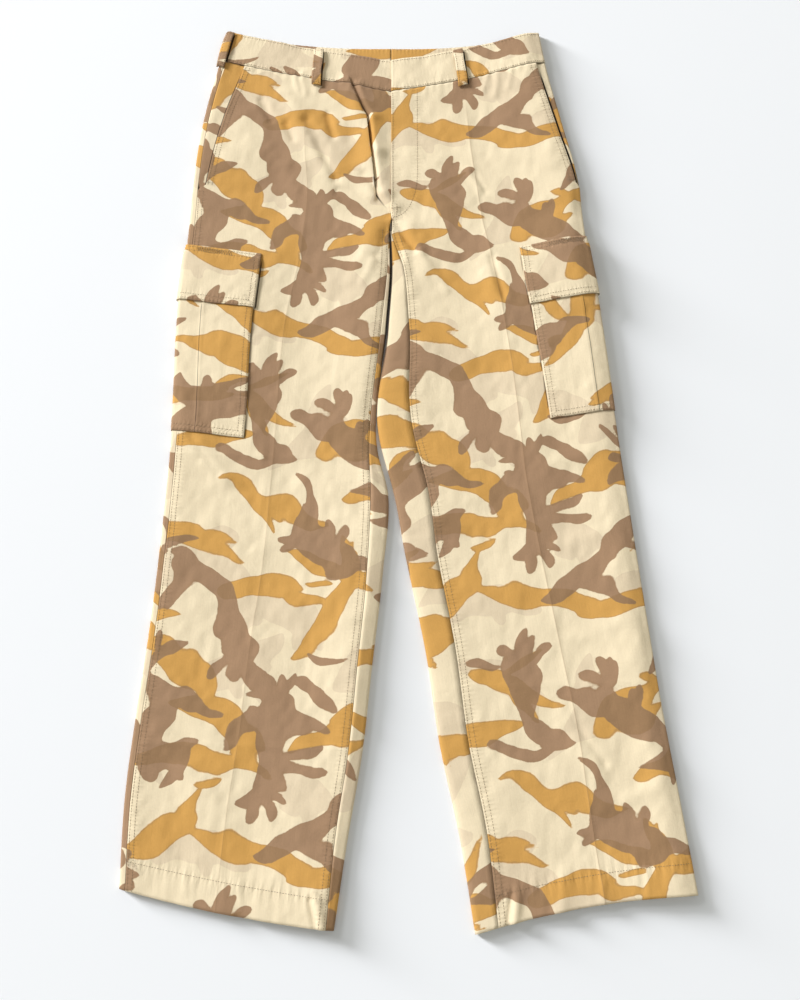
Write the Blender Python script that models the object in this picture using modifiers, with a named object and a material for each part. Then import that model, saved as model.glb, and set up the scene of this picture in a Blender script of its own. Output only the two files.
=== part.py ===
"""Cargo pants laid flat, front up, as separate cloth pieces.

Frame: metres, +Z up, waist toward +Y, hems toward -Y, origin at the bottom centre of the whole garment.
The wearer's right leg is at -X. Each half of the garment is one tube: rows run across it from the outer
fold to the inner edge, and every piece is a patch of that tube, moved outward by its own layer.
"""

import math

import bmesh
import bpy
import numpy as np

MM = 0.001
COLLECTION = "cargo_pants"

# Cloth walls and the clearance between pieces.
WALL = 1.2 * MM
HEM_WALL = 1.7 * MM
PRESSED_WALL = 1.0 * MM
BAND_WALL = 1.7 * MM
FLAP_WALL = 1.5 * MM
THICKEST = 2.4 * MM
BAND_PROUD = 0.4 * MM
SEAM_GAP = 0.3 * MM
NEAR_SEAM = 0.4 * MM
LAYER_GAP = 0.35 * MM

# Section of the laid tube: two layers that lie on each other, a fuller fold at each edge.
FLAT_HEIGHT = 3.6 * MM
FOLD_HEIGHT = 5.4 * MM
FOLD_DEPTH = 3.5 * MM
FOLD_ARC = 4.9 * MM
SWELL_REACH = 26 * MM

# Heights on the garment, measured down the outer fold from the waist seam.
BAND_TOP = -50 * MM
WAIST = 0.0
MOUTH_TOP = 4 * MM
MOUTH_END = 186 * MM
FLY_END = 178 * MM
VALLEY_START = 186 * MM
CROTCH = 214 * MM
FLAP_TOP = 275 * MM
POCKET_TOP = 288 * MM
FLAP_BOTTOM = 352 * MM
POCKET_BOTTOM = 525 * MM
HEM_FOLD = 1029 * MM
HEM = 1060 * MM
ROW_STEP = 30 * MM

# More height where more layers lie: seams at the band, folds at the hem, the bag of the slant pocket.
BAND_BULK = 0.9 * MM
HEM_BULK = 0.8 * MM
BULK_FADE = 50 * MM
RELIEF_MARGIN = 9 * MM
POCKET_BULK = 1.3 * MM
POCKET_BULK_REACH = 62 * MM

BACK_SAG = 2.5
FLY_UNDERLAP = 12 * MM
FLY_LIFT = 1.7 * MM
FLY_REACH = 38 * MM

# Cargo pocket, to each side of the side seam.
CARGO_HALF = 90 * MM
CARGO_TAPER = 0.06
FLAP_OVERHANG = 1.5 * MM
CARGO_MIDDLE = 55 * MM
PLEAT = 22 * MM
PLEAT_STEP = 2 * MM
PLEAT_WALL = 1.8 * MM
LIFT_FADE = 60 * MM

LOOP_WIDTH = 13 * MM
LOOP_BULGE = 2.2 * MM
LOOP_WALL = 1.5 * MM

# The garment's middle in the drawing frame of the tables below.
ORIGIN_X = 9.2
ORIGIN_Y = 81.0

# Rows across each half, in millimetres: where a row starts on the outer fold and ends on the inner edge,
# how much higher it ends at the centre back, how far its middle sags, and where the pressed crease, the
# side seam (from the outer fold) and the inseam (from the inner edge) cross it.
COLUMNS = ("down", "outer_x", "outer_y", "inner_x", "inner_y", "back_rise", "sag", "crease", "inseam")
STATIONS = {
    "right": (
        (-50, -234, 657, -12.3, 613, 21, 3, 120, 1.5),
        (0, -244, 612, -12.3, 564, 25, 2, 122, 1.5),
        (100, -264, 512, -12.3, 467, 12, 1, 140, 1.5),
        (190, -272, 422, -12.3, 384, 2, 0, 152, 1.5),
        (214, -273, 398, -12.8, 361, 0, 0, 151, 1.5),
        (275, -275, 337, -11.4, 303, 0, 0, 146, 5),
        (352, -281, 260, -16.5, 228, 0, 0, 138, 7),
        (525, -282, 87, -27.0, 58, 0, 0, 128, 11),
        (575, -284, 36, -15.0, 10, 0, 0, 127, 21),
        (670, -289, -60, -20.5, -90, 0, 0, 126, 19),
        (780, -297, -170, -33.0, -205, 0, 0, 121, 17),
        (870, -306, -260, -43.0, -298, 0, 0, 122, 16),
        (965, -313, -352, -59.0, -395, 0, 1, 118, 14),
        (1060, -313, -447, -73.0, -491, 0, 5, 110, 9),
    ),
    "left": (
        (-50, 190, 656, -11.7, 613, 21, 3, 108, 1.5),
        (0, 197, 609, -11.7, 564, 25, 2, 113, 1.5),
        (100, 218, 511, -11.7, 467, 12, 1, 127, 1.5),
        (190, 236, 424, -11.7, 384, 2, 0, 134, 1.5),
        (214, 237, 401, -11.2, 361, 0, 0, 132, 1.5),
        (275, 240, 349, -9.2, 303, 0, 0, 125, 14),
        (352, 251, 268, -14.0, 222, 0, 0, 122, 26),
        (525, 266, 113, -24.5, 72, 0, 0, 119, 43),
        (575, 271, 63, -9.0, 13, 0, 0, 120, 42),
        (670, 281, -35, 6.5, -70, 0, 0, 116, 38),
        (780, 293, -150, 31.0, -190, 0, 0, 108, 35),
        (870, 304, -248, 45.5, -290, 0, 0, 102, 33),
        (965, 318, -350, 67.0, -392, 0, -2, 104, 31),
        (1060, 332, -454, 83.0, -495, 0, -8, 106, 26),
    ),
}
SIDE_SEAM = {"right": 9 * MM, "left": -1 * MM}
SIDE_GAP = {"right": 0.3 * MM, "left": 0.9 * MM}
# Distance of the slant pocket mouth from the outer fold, at its top and at its end.
MOUTH = {"right": (36 * MM, 19 * MM), "left": (15 * MM, 6.5 * MM)}
FACING_DEPTH = 24 * MM
FACING_SINK = 1.75 * MM
FACING_INSET = 2.8 * MM

# Soft folds in the front: a ridge from one end to the other, in millimetres of the drawing frame.
# Columns: start x, start y, end x, end y, width, height.
FOLDS = (
    (-74, 578, -50, 505, 11, 3.6),
    (-50, 505, -44, 410, 11, 4.2),
    (-140, 536, -90, 450, 16, 1.8),
    (12, 366, 34, 298, 9, 1.8),
    (-6, 352, 16, 272, 8, 1.6),
    (-34, 352, -62, 290, 10, 1.6),
    (112, 334, 126, 258, 12, 1.8),
    (60, 470, 96, 448, 12, 1.4),
    (-246, 66, -214, 22, 11, 2.2),
    (-230, -30, -170, -66, 14, 2.0),
    (190, -262, 226, -318, 14, 2.0),
    (-96, -452, -88, -494, 7, 1.8),
    (128, -448, 122, -492, 7, 1.8),
    (184, -430, 178, -476, 8, 1.6),
)

# name, half, how far round from the outer fold the loop's middle is at its top and at its foot, extra room
LOOPS = (
    ("belt_loop_front_right", "right", 128 * MM, 138 * MM, 0.0),
    ("belt_loop_front_left", "left", 116 * MM, 118 * MM, 0.0),
    ("belt_loop_side_right", "right", 6.2 * MM, 6.2 * MM, 0.5 * MM),
)
LOOP_COLUMNS = (-1.0, -0.5, 0.0, 0.5, 1.0)

SAND = (0.88, 0.74, 0.52)
OCHRE = (0.68, 0.38, 0.11)
TAUPE = (0.38, 0.23, 0.14)
BEIGE = (0.76, 0.62, 0.42)


def smooth_step(t):
    t = min(max(t, 0.0), 1.0)
    return t * t * (3 - 2 * t)


def table_value(half, column, down):
    """Smooth value of one column at a height, through the rows of the half's table."""
    rows = np.array(STATIONS[half])
    knots = rows[:, 0] * MM
    values = rows[:, COLUMNS.index(column)]
    slopes = np.gradient(values, knots)
    down = min(max(down, knots[0]), knots[-1])
    i = min(int(np.searchsorted(knots, down, side="right")) - 1, len(knots) - 2)
    span = knots[i + 1] - knots[i]
    t = (down - knots[i]) / span
    start, end = values[i], values[i + 1]
    a, b = slopes[i] * span, slopes[i + 1] * span
    return (
        start * (2 * t**3 - 3 * t**2 + 1)
        + a * (t**3 - 2 * t**2 + t)
        + end * (3 * t**2 - 2 * t**3)
        + b * (t**3 - t**2)
    )


def fold_relief(x, y):
    """Height that the soft folds add to the upper layer at a place."""
    total = 0.0
    for fold in FOLDS:
        x0, y0, x1, y1, width, height = fold
        run = np.array([x1 - x0, y1 - y0])
        place = np.array([x - x0, y - y0])
        length = np.linalg.norm(run)
        along = place @ run / length**2
        across = (place[0] * run[1] - place[1] * run[0]) / length
        past = max(-along, along - 1, 0.0) * length / width
        total = max(total, height * MM * math.exp(-((across / width) ** 2) - past**2))
    return total


def cargo_columns(down):
    """Distances from the side seam at a height: pleat fold, pleat edge, middle, pocket edge, flap edge."""
    share = min(max((down - FLAP_BOTTOM) / (POCKET_BOTTOM - FLAP_BOTTOM), 0.0), 1.0)
    half_width = CARGO_HALF * (1 - CARGO_TAPER * share)
    fold = PLEAT - PLEAT_STEP / 2
    return fold, fold + PLEAT_STEP, CARGO_MIDDLE, half_width - FLAP_OVERHANG, half_width


def valley(down):
    """0 where the front lies flat across the centre, 1 from the crotch down, where the legs are apart."""
    return smooth_step((down - VALLEY_START) / (CROTCH - VALLEY_START))


def cargo_lift(down, from_outer):
    """How far the leg is lifted off the floor by the cargo pocket and flap that lie under it."""
    pocket = LAYER_GAP + PLEAT_WALL
    flap = LAYER_GAP + FLAP_WALL
    up = smooth_step((down - FLAP_TOP + LIFT_FADE) / LIFT_FADE)
    out = 1 - smooth_step((down - POCKET_BOTTOM - 4 * MM) / LIFT_FADE)
    flap_out = 1 - smooth_step((down - FLAP_BOTTOM - 4 * MM) / (LIFT_FADE / 2))
    inward = 1 - smooth_step((from_outer - CARGO_HALF - 14 * MM) / LIFT_FADE)
    return (pocket * out + flap * flap_out) * up * inward


def rim(distance):
    """Height factor of a rounded fold at a distance in from its edge."""
    if distance >= FOLD_DEPTH:
        return 1.0
    return math.sqrt(max(0.0, 1 - (1 - max(distance, 0.0) / FOLD_DEPTH) ** 2))


def tube_point(half, down, s, from_inner=False):
    """A point of the tube's outer face. s is the way round from the fold: plus on top, minus below."""
    face = 1 if s >= 0 else -1
    reach = abs(s)
    if reach < FOLD_ARC:
        angle = math.pi / 2 * reach / FOLD_ARC
        distance, fold = FOLD_DEPTH * (1 - math.cos(angle)), math.sin(angle)
    else:
        distance, fold = FOLD_DEPTH + reach - FOLD_ARC, 1.0
    clamped = min(max(down, BAND_TOP), HEM)
    outer = np.array([table_value(half, c, clamped) * MM for c in ("outer_x", "outer_y")])
    inner = np.array([table_value(half, c, clamped) * MM for c in ("inner_x", "inner_y")])
    if face < 0:
        inner[1] += table_value(half, "back_rise", clamped) * MM
    run = inner - outer
    width = float(np.linalg.norm(run))
    from_outer = width - distance if from_inner else distance
    from_inside = width - from_outer
    share = from_outer / width
    plan = outer + run * share
    sag = table_value(half, "sag", clamped) * MM
    if face < 0 and clamped < MOUTH_END:
        sag *= BACK_SAG
    plan[1] -= sag * 4 * share * (1 - min(share, 1.0))
    plan[1] -= down - clamped
    parted = valley(clamped)
    if from_inner:
        level = 1 - parted * (1 - fold)
    else:
        level = fold * (1 - parted * (1 - rim(from_inside)))
    middle = FOLD_HEIGHT / 2
    if face > 0:
        swell = math.exp(-from_outer / SWELL_REACH) + parted * math.exp(-max(from_inside, 0) / SWELL_REACH)
        top = FLAT_HEIGHT + (FOLD_HEIGHT - FLAT_HEIGHT) * min(swell, 1.0)
        top += BAND_BULK * (1 - smooth_step(abs(down) / BULK_FADE))
        top += HEM_BULK * smooth_step((down - HEM_FOLD + BULK_FADE) / BULK_FADE)
        bulk = 1 - smooth_step((from_outer - POCKET_BULK_REACH) / BULK_FADE)
        top += POCKET_BULK * bulk * (1 - smooth_step((down - MOUTH_END) / BULK_FADE))
        top += fold_relief(plan[0] / MM, plan[1] / MM) * (1 - math.exp(-((from_outer / RELIEF_MARGIN) ** 2)))
        height = middle + level * (top - middle)
    else:
        height = middle * (1 - level)
    height += cargo_lift(down, from_outer)
    return np.array([plan[0] - ORIGIN_X * MM, plan[1] - ORIGIN_Y * MM, height])


def layered_point(half, down, s, from_inner=False, layer=0.0):
    """The tube's point moved outward by a layer, and the outward direction there."""
    step = 0.2 * MM
    across = tube_point(half, down, s + step, from_inner) - tube_point(half, down, s - step, from_inner)
    along = tube_point(half, down + step, s, from_inner) - tube_point(half, down - step, s, from_inner)
    sign = 1 if (half == "right") != from_inner else -1
    outward = sign * np.cross(along, across)
    outward /= np.linalg.norm(outward)
    return tube_point(half, down, s, from_inner) + outward * layer, outward


def row_width(half, down, face=1):
    clamped = min(max(down, BAND_TOP), HEM)
    run_x = table_value(half, "inner_x", clamped) - table_value(half, "outer_x", clamped)
    run_y = table_value(half, "inner_y", clamped) - table_value(half, "outer_y", clamped)
    if face < 0:
        run_y += table_value(half, "back_rise", clamped)
    return math.hypot(run_x, run_y) * MM


def cloth_material(name, colour):
    material = bpy.data.materials.new(name)
    material.use_nodes = True
    shader = material.node_tree.nodes["Principled BSDF"]
    shader.inputs["Base Color"].default_value = (*colour, 1)
    shader.inputs["Roughness"].default_value = 0.85
    shader.inputs["Metallic"].default_value = 0.0
    return material


def make_cloth(name, rows, colour):
    """A cloth piece from rows of (outer point, outward direction, wall) or None where it has no cloth."""
    shape = bmesh.new()
    walls = []
    grid = []
    for row in rows:
        line = []
        for cell in row:
            vertex = None
            if cell is not None:
                vertex = shape.verts.new(cell[0])
                walls.append(cell[2])
            line.append(vertex)
        grid.append(line)
    for i in range(len(rows) - 1):
        for j in range(len(rows[0]) - 1):
            corners = [grid[i][j], grid[i][j + 1], grid[i + 1][j + 1], grid[i + 1][j]]
            if None not in corners:
                shape.faces.new(corners)
    shape.normal_update()
    shape.verts.index_update()
    face = next(iter(shape.faces))
    outward = next(c[1] for line, row in zip(grid, rows) for v, c in zip(line, row) if v in face.verts)
    if face.normal.dot(outward) < 0:
        bmesh.ops.reverse_faces(shape, faces=shape.faces)
    mesh = bpy.data.meshes.new(name)
    shape.to_mesh(mesh)
    shape.free()
    mesh.shade_smooth()
    cloth = bpy.data.objects.new(name, mesh)
    bpy.data.collections[COLLECTION].objects.link(cloth)
    mesh.materials.append(cloth_material(name, colour))
    group = cloth.vertex_groups.new(name="wall")
    for index, wall in enumerate(walls):
        group.add([index], wall / THICKEST, "REPLACE")
    thick = cloth.modifiers.new("Wall", "SOLIDIFY")
    thick.thickness = THICKEST
    thick.offset = -1
    thick.vertex_group = group.name
    return cloth


def heights(start, end, *fixed):
    """Rows from start to end, through each fixed height, no more than a row step apart."""
    stops = sorted({start, end, *(h for h in fixed if start < h < end)})
    rows = []
    for low, high in zip(stops, stops[1:]):
        count = max(1, math.ceil((high - low) / ROW_STEP - 0.2))
        rows += [low + (high - low) * k / count for k in range(count)]
    return rows + [end]


def leg_rows():
    return heights(
        WAIST + SEAM_GAP,
        HEM,
        FLY_END,
        FLY_END + 8 * MM,
        MOUTH_END + 7 * MM,
        CROTCH,
        FLAP_TOP,
        POCKET_TOP,
        FLAP_BOTTOM,
        POCKET_BOTTOM,
        HEM_FOLD,
        HEM_FOLD + 3 * MM,
    )


def body_wall(half, down, s):
    """Wall of a leg panel: double at the hem, pressed thin where a side seam lies in the outer fold."""
    if half == "left" and abs(s - SIDE_SEAM[half]) < FOLD_ARC / 2:
        return PRESSED_WALL
    return HEM_WALL if down > HEM_FOLD + 1 * MM else WALL


def mouth_edge(half, down):
    top, end = MOUTH[half]
    return top + (end - top) * (down - MOUTH_TOP) / (MOUTH_END - MOUTH_TOP)


def fly_lift(half, down, from_centre):
    """The left front and band ride over the right ones at the fly."""
    if half == "right":
        return 0.0
    fade = 1 - smooth_step((down - FLY_END) / (30 * MM))
    return FLY_LIFT * fade * (1 - smooth_step((from_centre - FLY_UNDERLAP - 2 * MM) / FLY_REACH))


def centre_columns(half, width, end):
    """Columns toward the centre front or the inseam, closer where the crotch rounds."""
    return [width - end - distance * MM for distance in (13, 5, 2, 0.7, 0)]


def front_panel(half):
    cells = []
    for down in leg_rows():
        width = row_width(half, down)
        start = SIDE_SEAM[half] + SIDE_GAP[half] / 2
        if down < MOUTH_END + 1 * MM:
            start = mouth_edge(half, down)
        end = 0.0
        if down > CROTCH - 1 * MM:
            end = table_value(half, "inseam", down) * MM + SEAM_GAP / 2
        if half == "right" and down < FLY_END + 1 * MM:
            end = -FLY_UNDERLAP
        crease = table_value(half, "crease", down) * MM
        fixed = [SIDE_SEAM[half] + distance for distance in cargo_columns(down)]
        if half == "left":
            fixed = [start + NEAR_SEAM, 1.5 * MM, FOLD_ARC] + fixed
        outside = [start]
        for distance in fixed:
            outside.append(max(distance, outside[-1] + NEAR_SEAM))
        centre = centre_columns(half, width + FOLD_ARC - FOLD_DEPTH, end)
        middle = [crease + (centre[0] - crease) * share for share in (0, 0.34, 0.67)]
        row = []
        for s in outside + middle + centre:
            layer = fly_lift(half, down, width - s)
            row.append((*layered_point(half, down, s, layer=layer), body_wall(half, down, s)))
        cells.append(row)
    make_cloth(f"front_{half}", cells, SAND if half == "right" else BEIGE)


def back_columns(half, down):
    """The way round a back panel: side seam, outer fold, underside, inner fold, inseam."""
    start = SIDE_SEAM[half] - SIDE_GAP[half] / 2
    width = row_width(half, down, -1)
    outer = [start, start - NEAR_SEAM]
    outer += [s for s in (2.6 * MM, 0.0, -2.6 * MM, -FOLD_ARC) if s < start - 0.5 * MM]
    outer += [SIDE_SEAM[half] - distance for distance in cargo_columns(down)]
    outer += [outer[-1] - (width + outer[-1]) * share for share in (0.3, 0.62)]
    inner = [-16 * MM, -FOLD_ARC, -2.6 * MM, -1.2 * MM, -0.02 * MM]
    inseam = table_value(half, "inseam", down) * MM + FOLD_ARC - FOLD_DEPTH - SEAM_GAP / 2
    strip = [min(2.6 * MM, inseam * 0.4), min(FOLD_ARC, inseam * 0.7), inseam]
    return [(s, False) for s in outer] + [(s, True) for s in inner], [(s, True) for s in strip]


def back_panel(half):
    cells = []
    for down in leg_rows():
        main, strip = back_columns(half, down)
        width = row_width(half, down)
        row = []
        for s, inner in main:
            row.append((*layered_point(half, down, s, inner), body_wall(half, down, s)))
        for s, inner in strip:
            cell = (*layered_point(half, down, s, inner), body_wall(half, down, width))
            row.append(cell if down > CROTCH - 1 * MM else None)
        cells.append(row)
    make_cloth(f"back_{half}", cells, BEIGE if half == "right" else SAND)


def waistband(half):
    cells = []
    for down in (BAND_TOP, BAND_TOP * 0.94, BAND_TOP * 0.5, WAIST - SEAM_GAP / 2):
        width = row_width(half, down)
        back_width = row_width(half, down, -1)
        bend = FOLD_ARC - FOLD_DEPTH
        end = -FLY_UNDERLAP if half == "right" else 0.0
        front = [width + bend - end - distance * MM for distance in (0, 14, 40, 70)]
        front += [distance * MM for distance in (100, 60, 30, 12)]
        fold = [FOLD_ARC, 2.6 * MM, 0.0, -2.6 * MM, -FOLD_ARC]
        back = [-30 * MM, -100 * MM, -back_width * 0.7, -(back_width + bend)]
        row = []
        for s in front + fold + back:
            layer = BAND_PROUD + fly_lift(half, down, width + bend - s) if s > 0 else 0.0
            row.append((*layered_point(half, down, s, layer=layer), BAND_WALL))
        cells.append(row)
    make_cloth(f"waistband_{half}", cells, SAND)


def pocket_facing(half):
    """The cloth inside the slant mouth, from the side seam to under the front's edge."""
    cells = []
    seam = SIDE_SEAM[half] + SEAM_GAP / 2
    for down in heights(WAIST + SEAM_GAP, MOUTH_END - 2 * MM):
        mouth = mouth_edge(half, down)
        ends = smooth_step((down - MOUTH_END + 40 * MM) / (30 * MM))
        start = seam if half == "right" else FACING_INSET * ends
        near = mouth - 2.5 * MM
        columns = (
            (start, ends, PRESSED_WALL),
            ((start + near) / 2, 0.55 + 0.45 * ends, PRESSED_WALL),
            (near, 1, WALL),
            (mouth + FACING_DEPTH, 1, WALL),
        )
        row = []
        for s, sink, wall in columns:
            row.append((*layered_point(half, down, s, layer=-FACING_SINK * sink), wall))
        cells.append(row)
    make_cloth(f"pocket_facing_{half}", cells, BEIGE)


def side_columns(half, down, overhang):
    """Ways round the side for a cargo piece, front edge to back edge, on the leg's own columns."""
    inner_fold, outer_fold, middle, pocket_edge, flap_edge = cargo_columns(down)
    edge = flap_edge if overhang else pocket_edge
    seam = SIDE_SEAM[half]
    top = [seam + distance for distance in (edge, middle, outer_fold, inner_fold)]
    below = [seam - distance for distance in (inner_fold, outer_fold, middle, edge)]
    if half == "right":
        middle = [seam, 2.6 * MM, 0.0, -2.6 * MM, -FOLD_ARC]
    else:
        middle = [FOLD_ARC, 1.5 * MM, seam, -2.6 * MM, -FOLD_ARC]
    return top + middle + below


def cargo_pocket(half):
    cells = []
    for down in [h for h in leg_rows() if POCKET_TOP - 1 * MM < h < POCKET_BOTTOM + 1 * MM]:
        row = []
        for s in side_columns(half, down, overhang=False):
            wall = WALL if abs(s - SIDE_SEAM[half]) < PLEAT else PLEAT_WALL
            row.append((*layered_point(half, down, s, layer=LAYER_GAP + wall), wall))
        cells.append(row)
    make_cloth(f"cargo_pocket_{half}", cells, OCHRE)


def cargo_flap(half):
    cells = []
    for down in [h for h in leg_rows() if FLAP_TOP - 1 * MM < h < FLAP_BOTTOM + 1 * MM]:
        over = LAYER_GAP if down < POCKET_TOP - 1 * MM else 2 * LAYER_GAP + PLEAT_WALL
        row = []
        for s in side_columns(half, down, overhang=True):
            row.append((*layered_point(half, down, s, layer=over + FLAP_WALL), FLAP_WALL))
        cells.append(row)
    make_cloth(f"cargo_flap_{half}", cells, TAUPE)


def loop_half_span(half, down, middle, layer):
    """How far round the loop reaches to each side of its middle, so that its outer face is LOOP_WIDTH wide."""
    low, high = 0.0, LOOP_WIDTH / 2
    for _ in range(24):
        span = (low + high) / 2
        at = [layered_point(half, down, middle + span * k / 10, layer=layer)[0] for k in range(-10, 11)]
        wide = sum(float(np.linalg.norm(b - a)) for a, b in zip(at, at[1:]))
        low, high = (span, high) if wide < LOOP_WIDTH else (low, span)
    return (low + high) / 2


def belt_loop(name, half, top_at, bottom_at, room):
    """A strip down over the band, held at both ends and standing a little proud between them."""
    cells = []
    length = 60 * MM
    for share in (0.0, 0.12, 0.3, 0.5, 0.7, 0.88, 1.0):
        down = BAND_TOP + 1 * MM + length * share
        middle = top_at + (bottom_at - top_at) * share
        bulge = LOOP_BULGE * math.sin(math.pi * share) ** 0.6
        layer = BAND_PROUD + 2 * LAYER_GAP + LOOP_WALL + room + bulge
        span = loop_half_span(half, down, middle, layer)
        row = []
        for side in LOOP_COLUMNS:
            row.append((*layered_point(half, down, middle + span * side, layer=layer), LOOP_WALL))
        cells.append(row)
    make_cloth(name, cells, TAUPE)


def clear_scene():
    for thing in list(bpy.data.objects):
        bpy.data.objects.remove(thing, do_unlink=True)
    collection = bpy.data.collections.new(COLLECTION)
    bpy.context.scene.collection.children.link(collection)


def main():
    clear_scene()
    for half in STATIONS:
        front_panel(half)
        back_panel(half)
        waistband(half)
        pocket_facing(half)
        cargo_pocket(half)
        cargo_flap(half)
    for loop in LOOPS:
        belt_loop(*loop)


main()
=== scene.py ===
import math

import bpy
import numpy as np
from mathutils.kdtree import KDTree
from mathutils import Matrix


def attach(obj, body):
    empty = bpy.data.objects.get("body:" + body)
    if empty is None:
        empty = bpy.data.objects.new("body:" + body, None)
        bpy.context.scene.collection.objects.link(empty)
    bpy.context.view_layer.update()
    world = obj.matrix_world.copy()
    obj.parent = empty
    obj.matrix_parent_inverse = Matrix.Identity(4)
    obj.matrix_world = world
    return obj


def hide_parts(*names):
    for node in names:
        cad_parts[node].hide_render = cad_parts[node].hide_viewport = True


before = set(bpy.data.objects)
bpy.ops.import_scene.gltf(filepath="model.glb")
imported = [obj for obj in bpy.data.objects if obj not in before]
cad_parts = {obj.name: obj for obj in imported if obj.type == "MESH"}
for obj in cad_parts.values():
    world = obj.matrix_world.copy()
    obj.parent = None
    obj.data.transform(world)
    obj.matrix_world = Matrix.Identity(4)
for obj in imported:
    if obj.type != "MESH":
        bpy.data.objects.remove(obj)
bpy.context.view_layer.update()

mm = 0.001
drawingMiddle = (9.2, 81.0)  # where the tables' own zero lies from the garment's middle, in mm


def placeObject(name, data):
    made = bpy.data.objects.new(name, data)
    bpy.context.scene.collection.objects.link(made)
    return made


# Distance and aim in metres, tilt in degrees from straight down, lens and sensor in mm.
view = {"distance": 1.281, "tilt": 14.0, "lens": 37.8, "sensor": 36.0, "aim": (-0.0092, -0.081, 0.0)}


def placeCamera():
    tilt = math.radians(view["tilt"])
    lens = bpy.data.cameras.new("camera")
    lens.lens = view["lens"]
    lens.sensor_width = lens.sensor_height = view["sensor"]
    lens.sensor_fit = "AUTO"
    camera = placeObject("camera", lens)
    aimX, aimY, aimZ = view["aim"]
    back, up = view["distance"] * math.sin(tilt), view["distance"] * math.cos(tilt)
    camera.location = (aimX, aimY - back, aimZ + up)
    camera.rotation_euler = (tilt, 0, 0)
    bpy.context.scene.camera = camera


placeCamera()
print("camera placed")

# The laid leg as a flat tube: heights, places down the leg from the waist seam, rises, gaps and walls.
laidTube = {
    "flatHeight": 3.6 * mm,
    "leastHeight": 3.1 * mm,
    "fullness": 1.3 * mm,
    "foldHeight": 5.4 * mm,
    "foldDepth": 3.5 * mm,
    "foldArc": 4.9 * mm,
    "swellReach": 26 * mm,
    "bandTop": -50 * mm,
    "mouthTop": 4 * mm,
    "mouthEnd": 186 * mm,
    "flyEnd": 178 * mm,
    "valleyStart": 186 * mm,
    "crotch": 214 * mm,
    "flapTop": 275 * mm,
    "pocketTop": 288 * mm,
    "flapBottom": 352 * mm,
    "pocketBottom": 525 * mm,
    "hemFold": 1029 * mm,
    "hem": 1060 * mm,
    "backSag": 2.5,
    "bandBulk": 0.9 * mm,
    "hemBulk": 0.8 * mm,
    "pocketBulk": 1.3 * mm,
    "pocketBulkReach": 62 * mm,
    "bulkFade": 50 * mm,
    "reliefMargin": 9 * mm,
    "edgeRise": {"right": (0.8 * mm, 4.8 * mm), "left": (4.8 * mm, 0.6 * mm)},
    "riseReach": 60 * mm,
    "riseMargin": 14 * mm,
    "layerGap": 0.35 * mm,
    "seamGap": 0.3 * mm,
    "wall": 1.2 * mm,
    "hemWall": 1.7 * mm,
    "pressedWall": 1.0 * mm,
    "thickest": 2.4 * mm,
    "sideSeam": {"right": 9 * mm, "left": -1 * mm},
    "sideGap": {"right": 0.3 * mm, "left": 0.9 * mm},
    "mouth": {"right": (36 * mm, 19 * mm), "left": (15 * mm, 6.5 * mm)},
}
bend = laidTube["foldArc"] - laidTube["foldDepth"]

# Rows across each half, in mm, outer fold to inner edge.
stationColumns = ("down", "outerX", "outerY", "innerX", "innerY", "backRise", "sag", "crease", "inseam")
stations = {
    "right": (
        (-50, -234, 657, -12.3, 613, 21, 3, 120, 1.5),
        (0, -244, 612, -12.3, 564, 25, 2, 122, 1.5),
        (100, -264, 512, -12.3, 467, 12, 1, 140, 1.5),
        (190, -272, 422, -12.3, 384, 2, 0, 152, 1.5),
        (214, -273, 398, -12.8, 361, 0, 0, 151, 1.5),
        (275, -275, 337, -11.4, 303, 0, 0, 146, 5),
        (352, -281, 260, -16.5, 228, 0, 0, 138, 7),
        (525, -282, 87, -27.0, 58, 0, 0, 128, 11),
        (575, -284, 36, -15.0, 10, 0, 0, 127, 21),
        (670, -289, -60, -20.5, -90, 0, 0, 126, 19),
        (780, -297, -170, -33.0, -205, 0, 0, 121, 17),
        (870, -306, -260, -43.0, -298, 0, 0, 122, 16),
        (965, -313, -352, -59.0, -395, 0, 1, 118, 14),
        (1060, -313, -447, -73.0, -491, 0, 5, 110, 9),
    ),
    "left": (
        (-50, 190, 656, -11.7, 613, 21, 3, 108, 1.5),
        (0, 197, 609, -11.7, 564, 25, 2, 113, 1.5),
        (100, 218, 511, -11.7, 467, 12, 1, 127, 1.5),
        (190, 236, 424, -11.7, 384, 2, 0, 134, 1.5),
        (214, 237, 401, -11.2, 361, 0, 0, 132, 1.5),
        (275, 240, 349, -9.2, 303, 0, 0, 125, 14),
        (352, 251, 268, -14.0, 222, 0, 0, 122, 26),
        (525, 266, 113, -24.5, 72, 0, 0, 119, 43),
        (575, 271, 63, -9.0, 13, 0, 0, 120, 42),
        (670, 281, -35, 6.5, -70, 0, 0, 116, 38),
        (780, 293, -150, 31.0, -190, 0, 0, 108, 35),
        (870, 304, -248, 45.5, -290, 0, 0, 102, 33),
        (965, 318, -350, 67.0, -392, 0, -2, 104, 31),
        (1060, 332, -454, 83.0, -495, 0, -8, 106, 26),
    ),
}

# The large folds: start x, y, end x, y, width, height in mm.
folds = (
    (-74, 578, -50, 505, 11, 3.6),
    (-50, 505, -44, 410, 11, 4.2),
    (-140, 536, -90, 450, 16, 1.8),
    (12, 366, 34, 298, 9, 1.8),
    (-6, 352, 16, 272, 8, 1.6),
    (-34, 352, -62, 290, 10, 1.6),
    (112, 334, 126, 258, 12, 1.8),
    (60, 470, 96, 448, 12, 1.4),
    (-246, 66, -214, 22, 11, 2.2),
    (-230, -30, -170, -66, 14, 2.0),
    (190, -262, 226, -318, 14, 2.0),
    (-96, -452, -88, -494, 7, 1.8),
    (128, -448, 122, -492, 7, 1.8),
    (184, -430, 178, -476, 8, 1.6),
)

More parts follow.
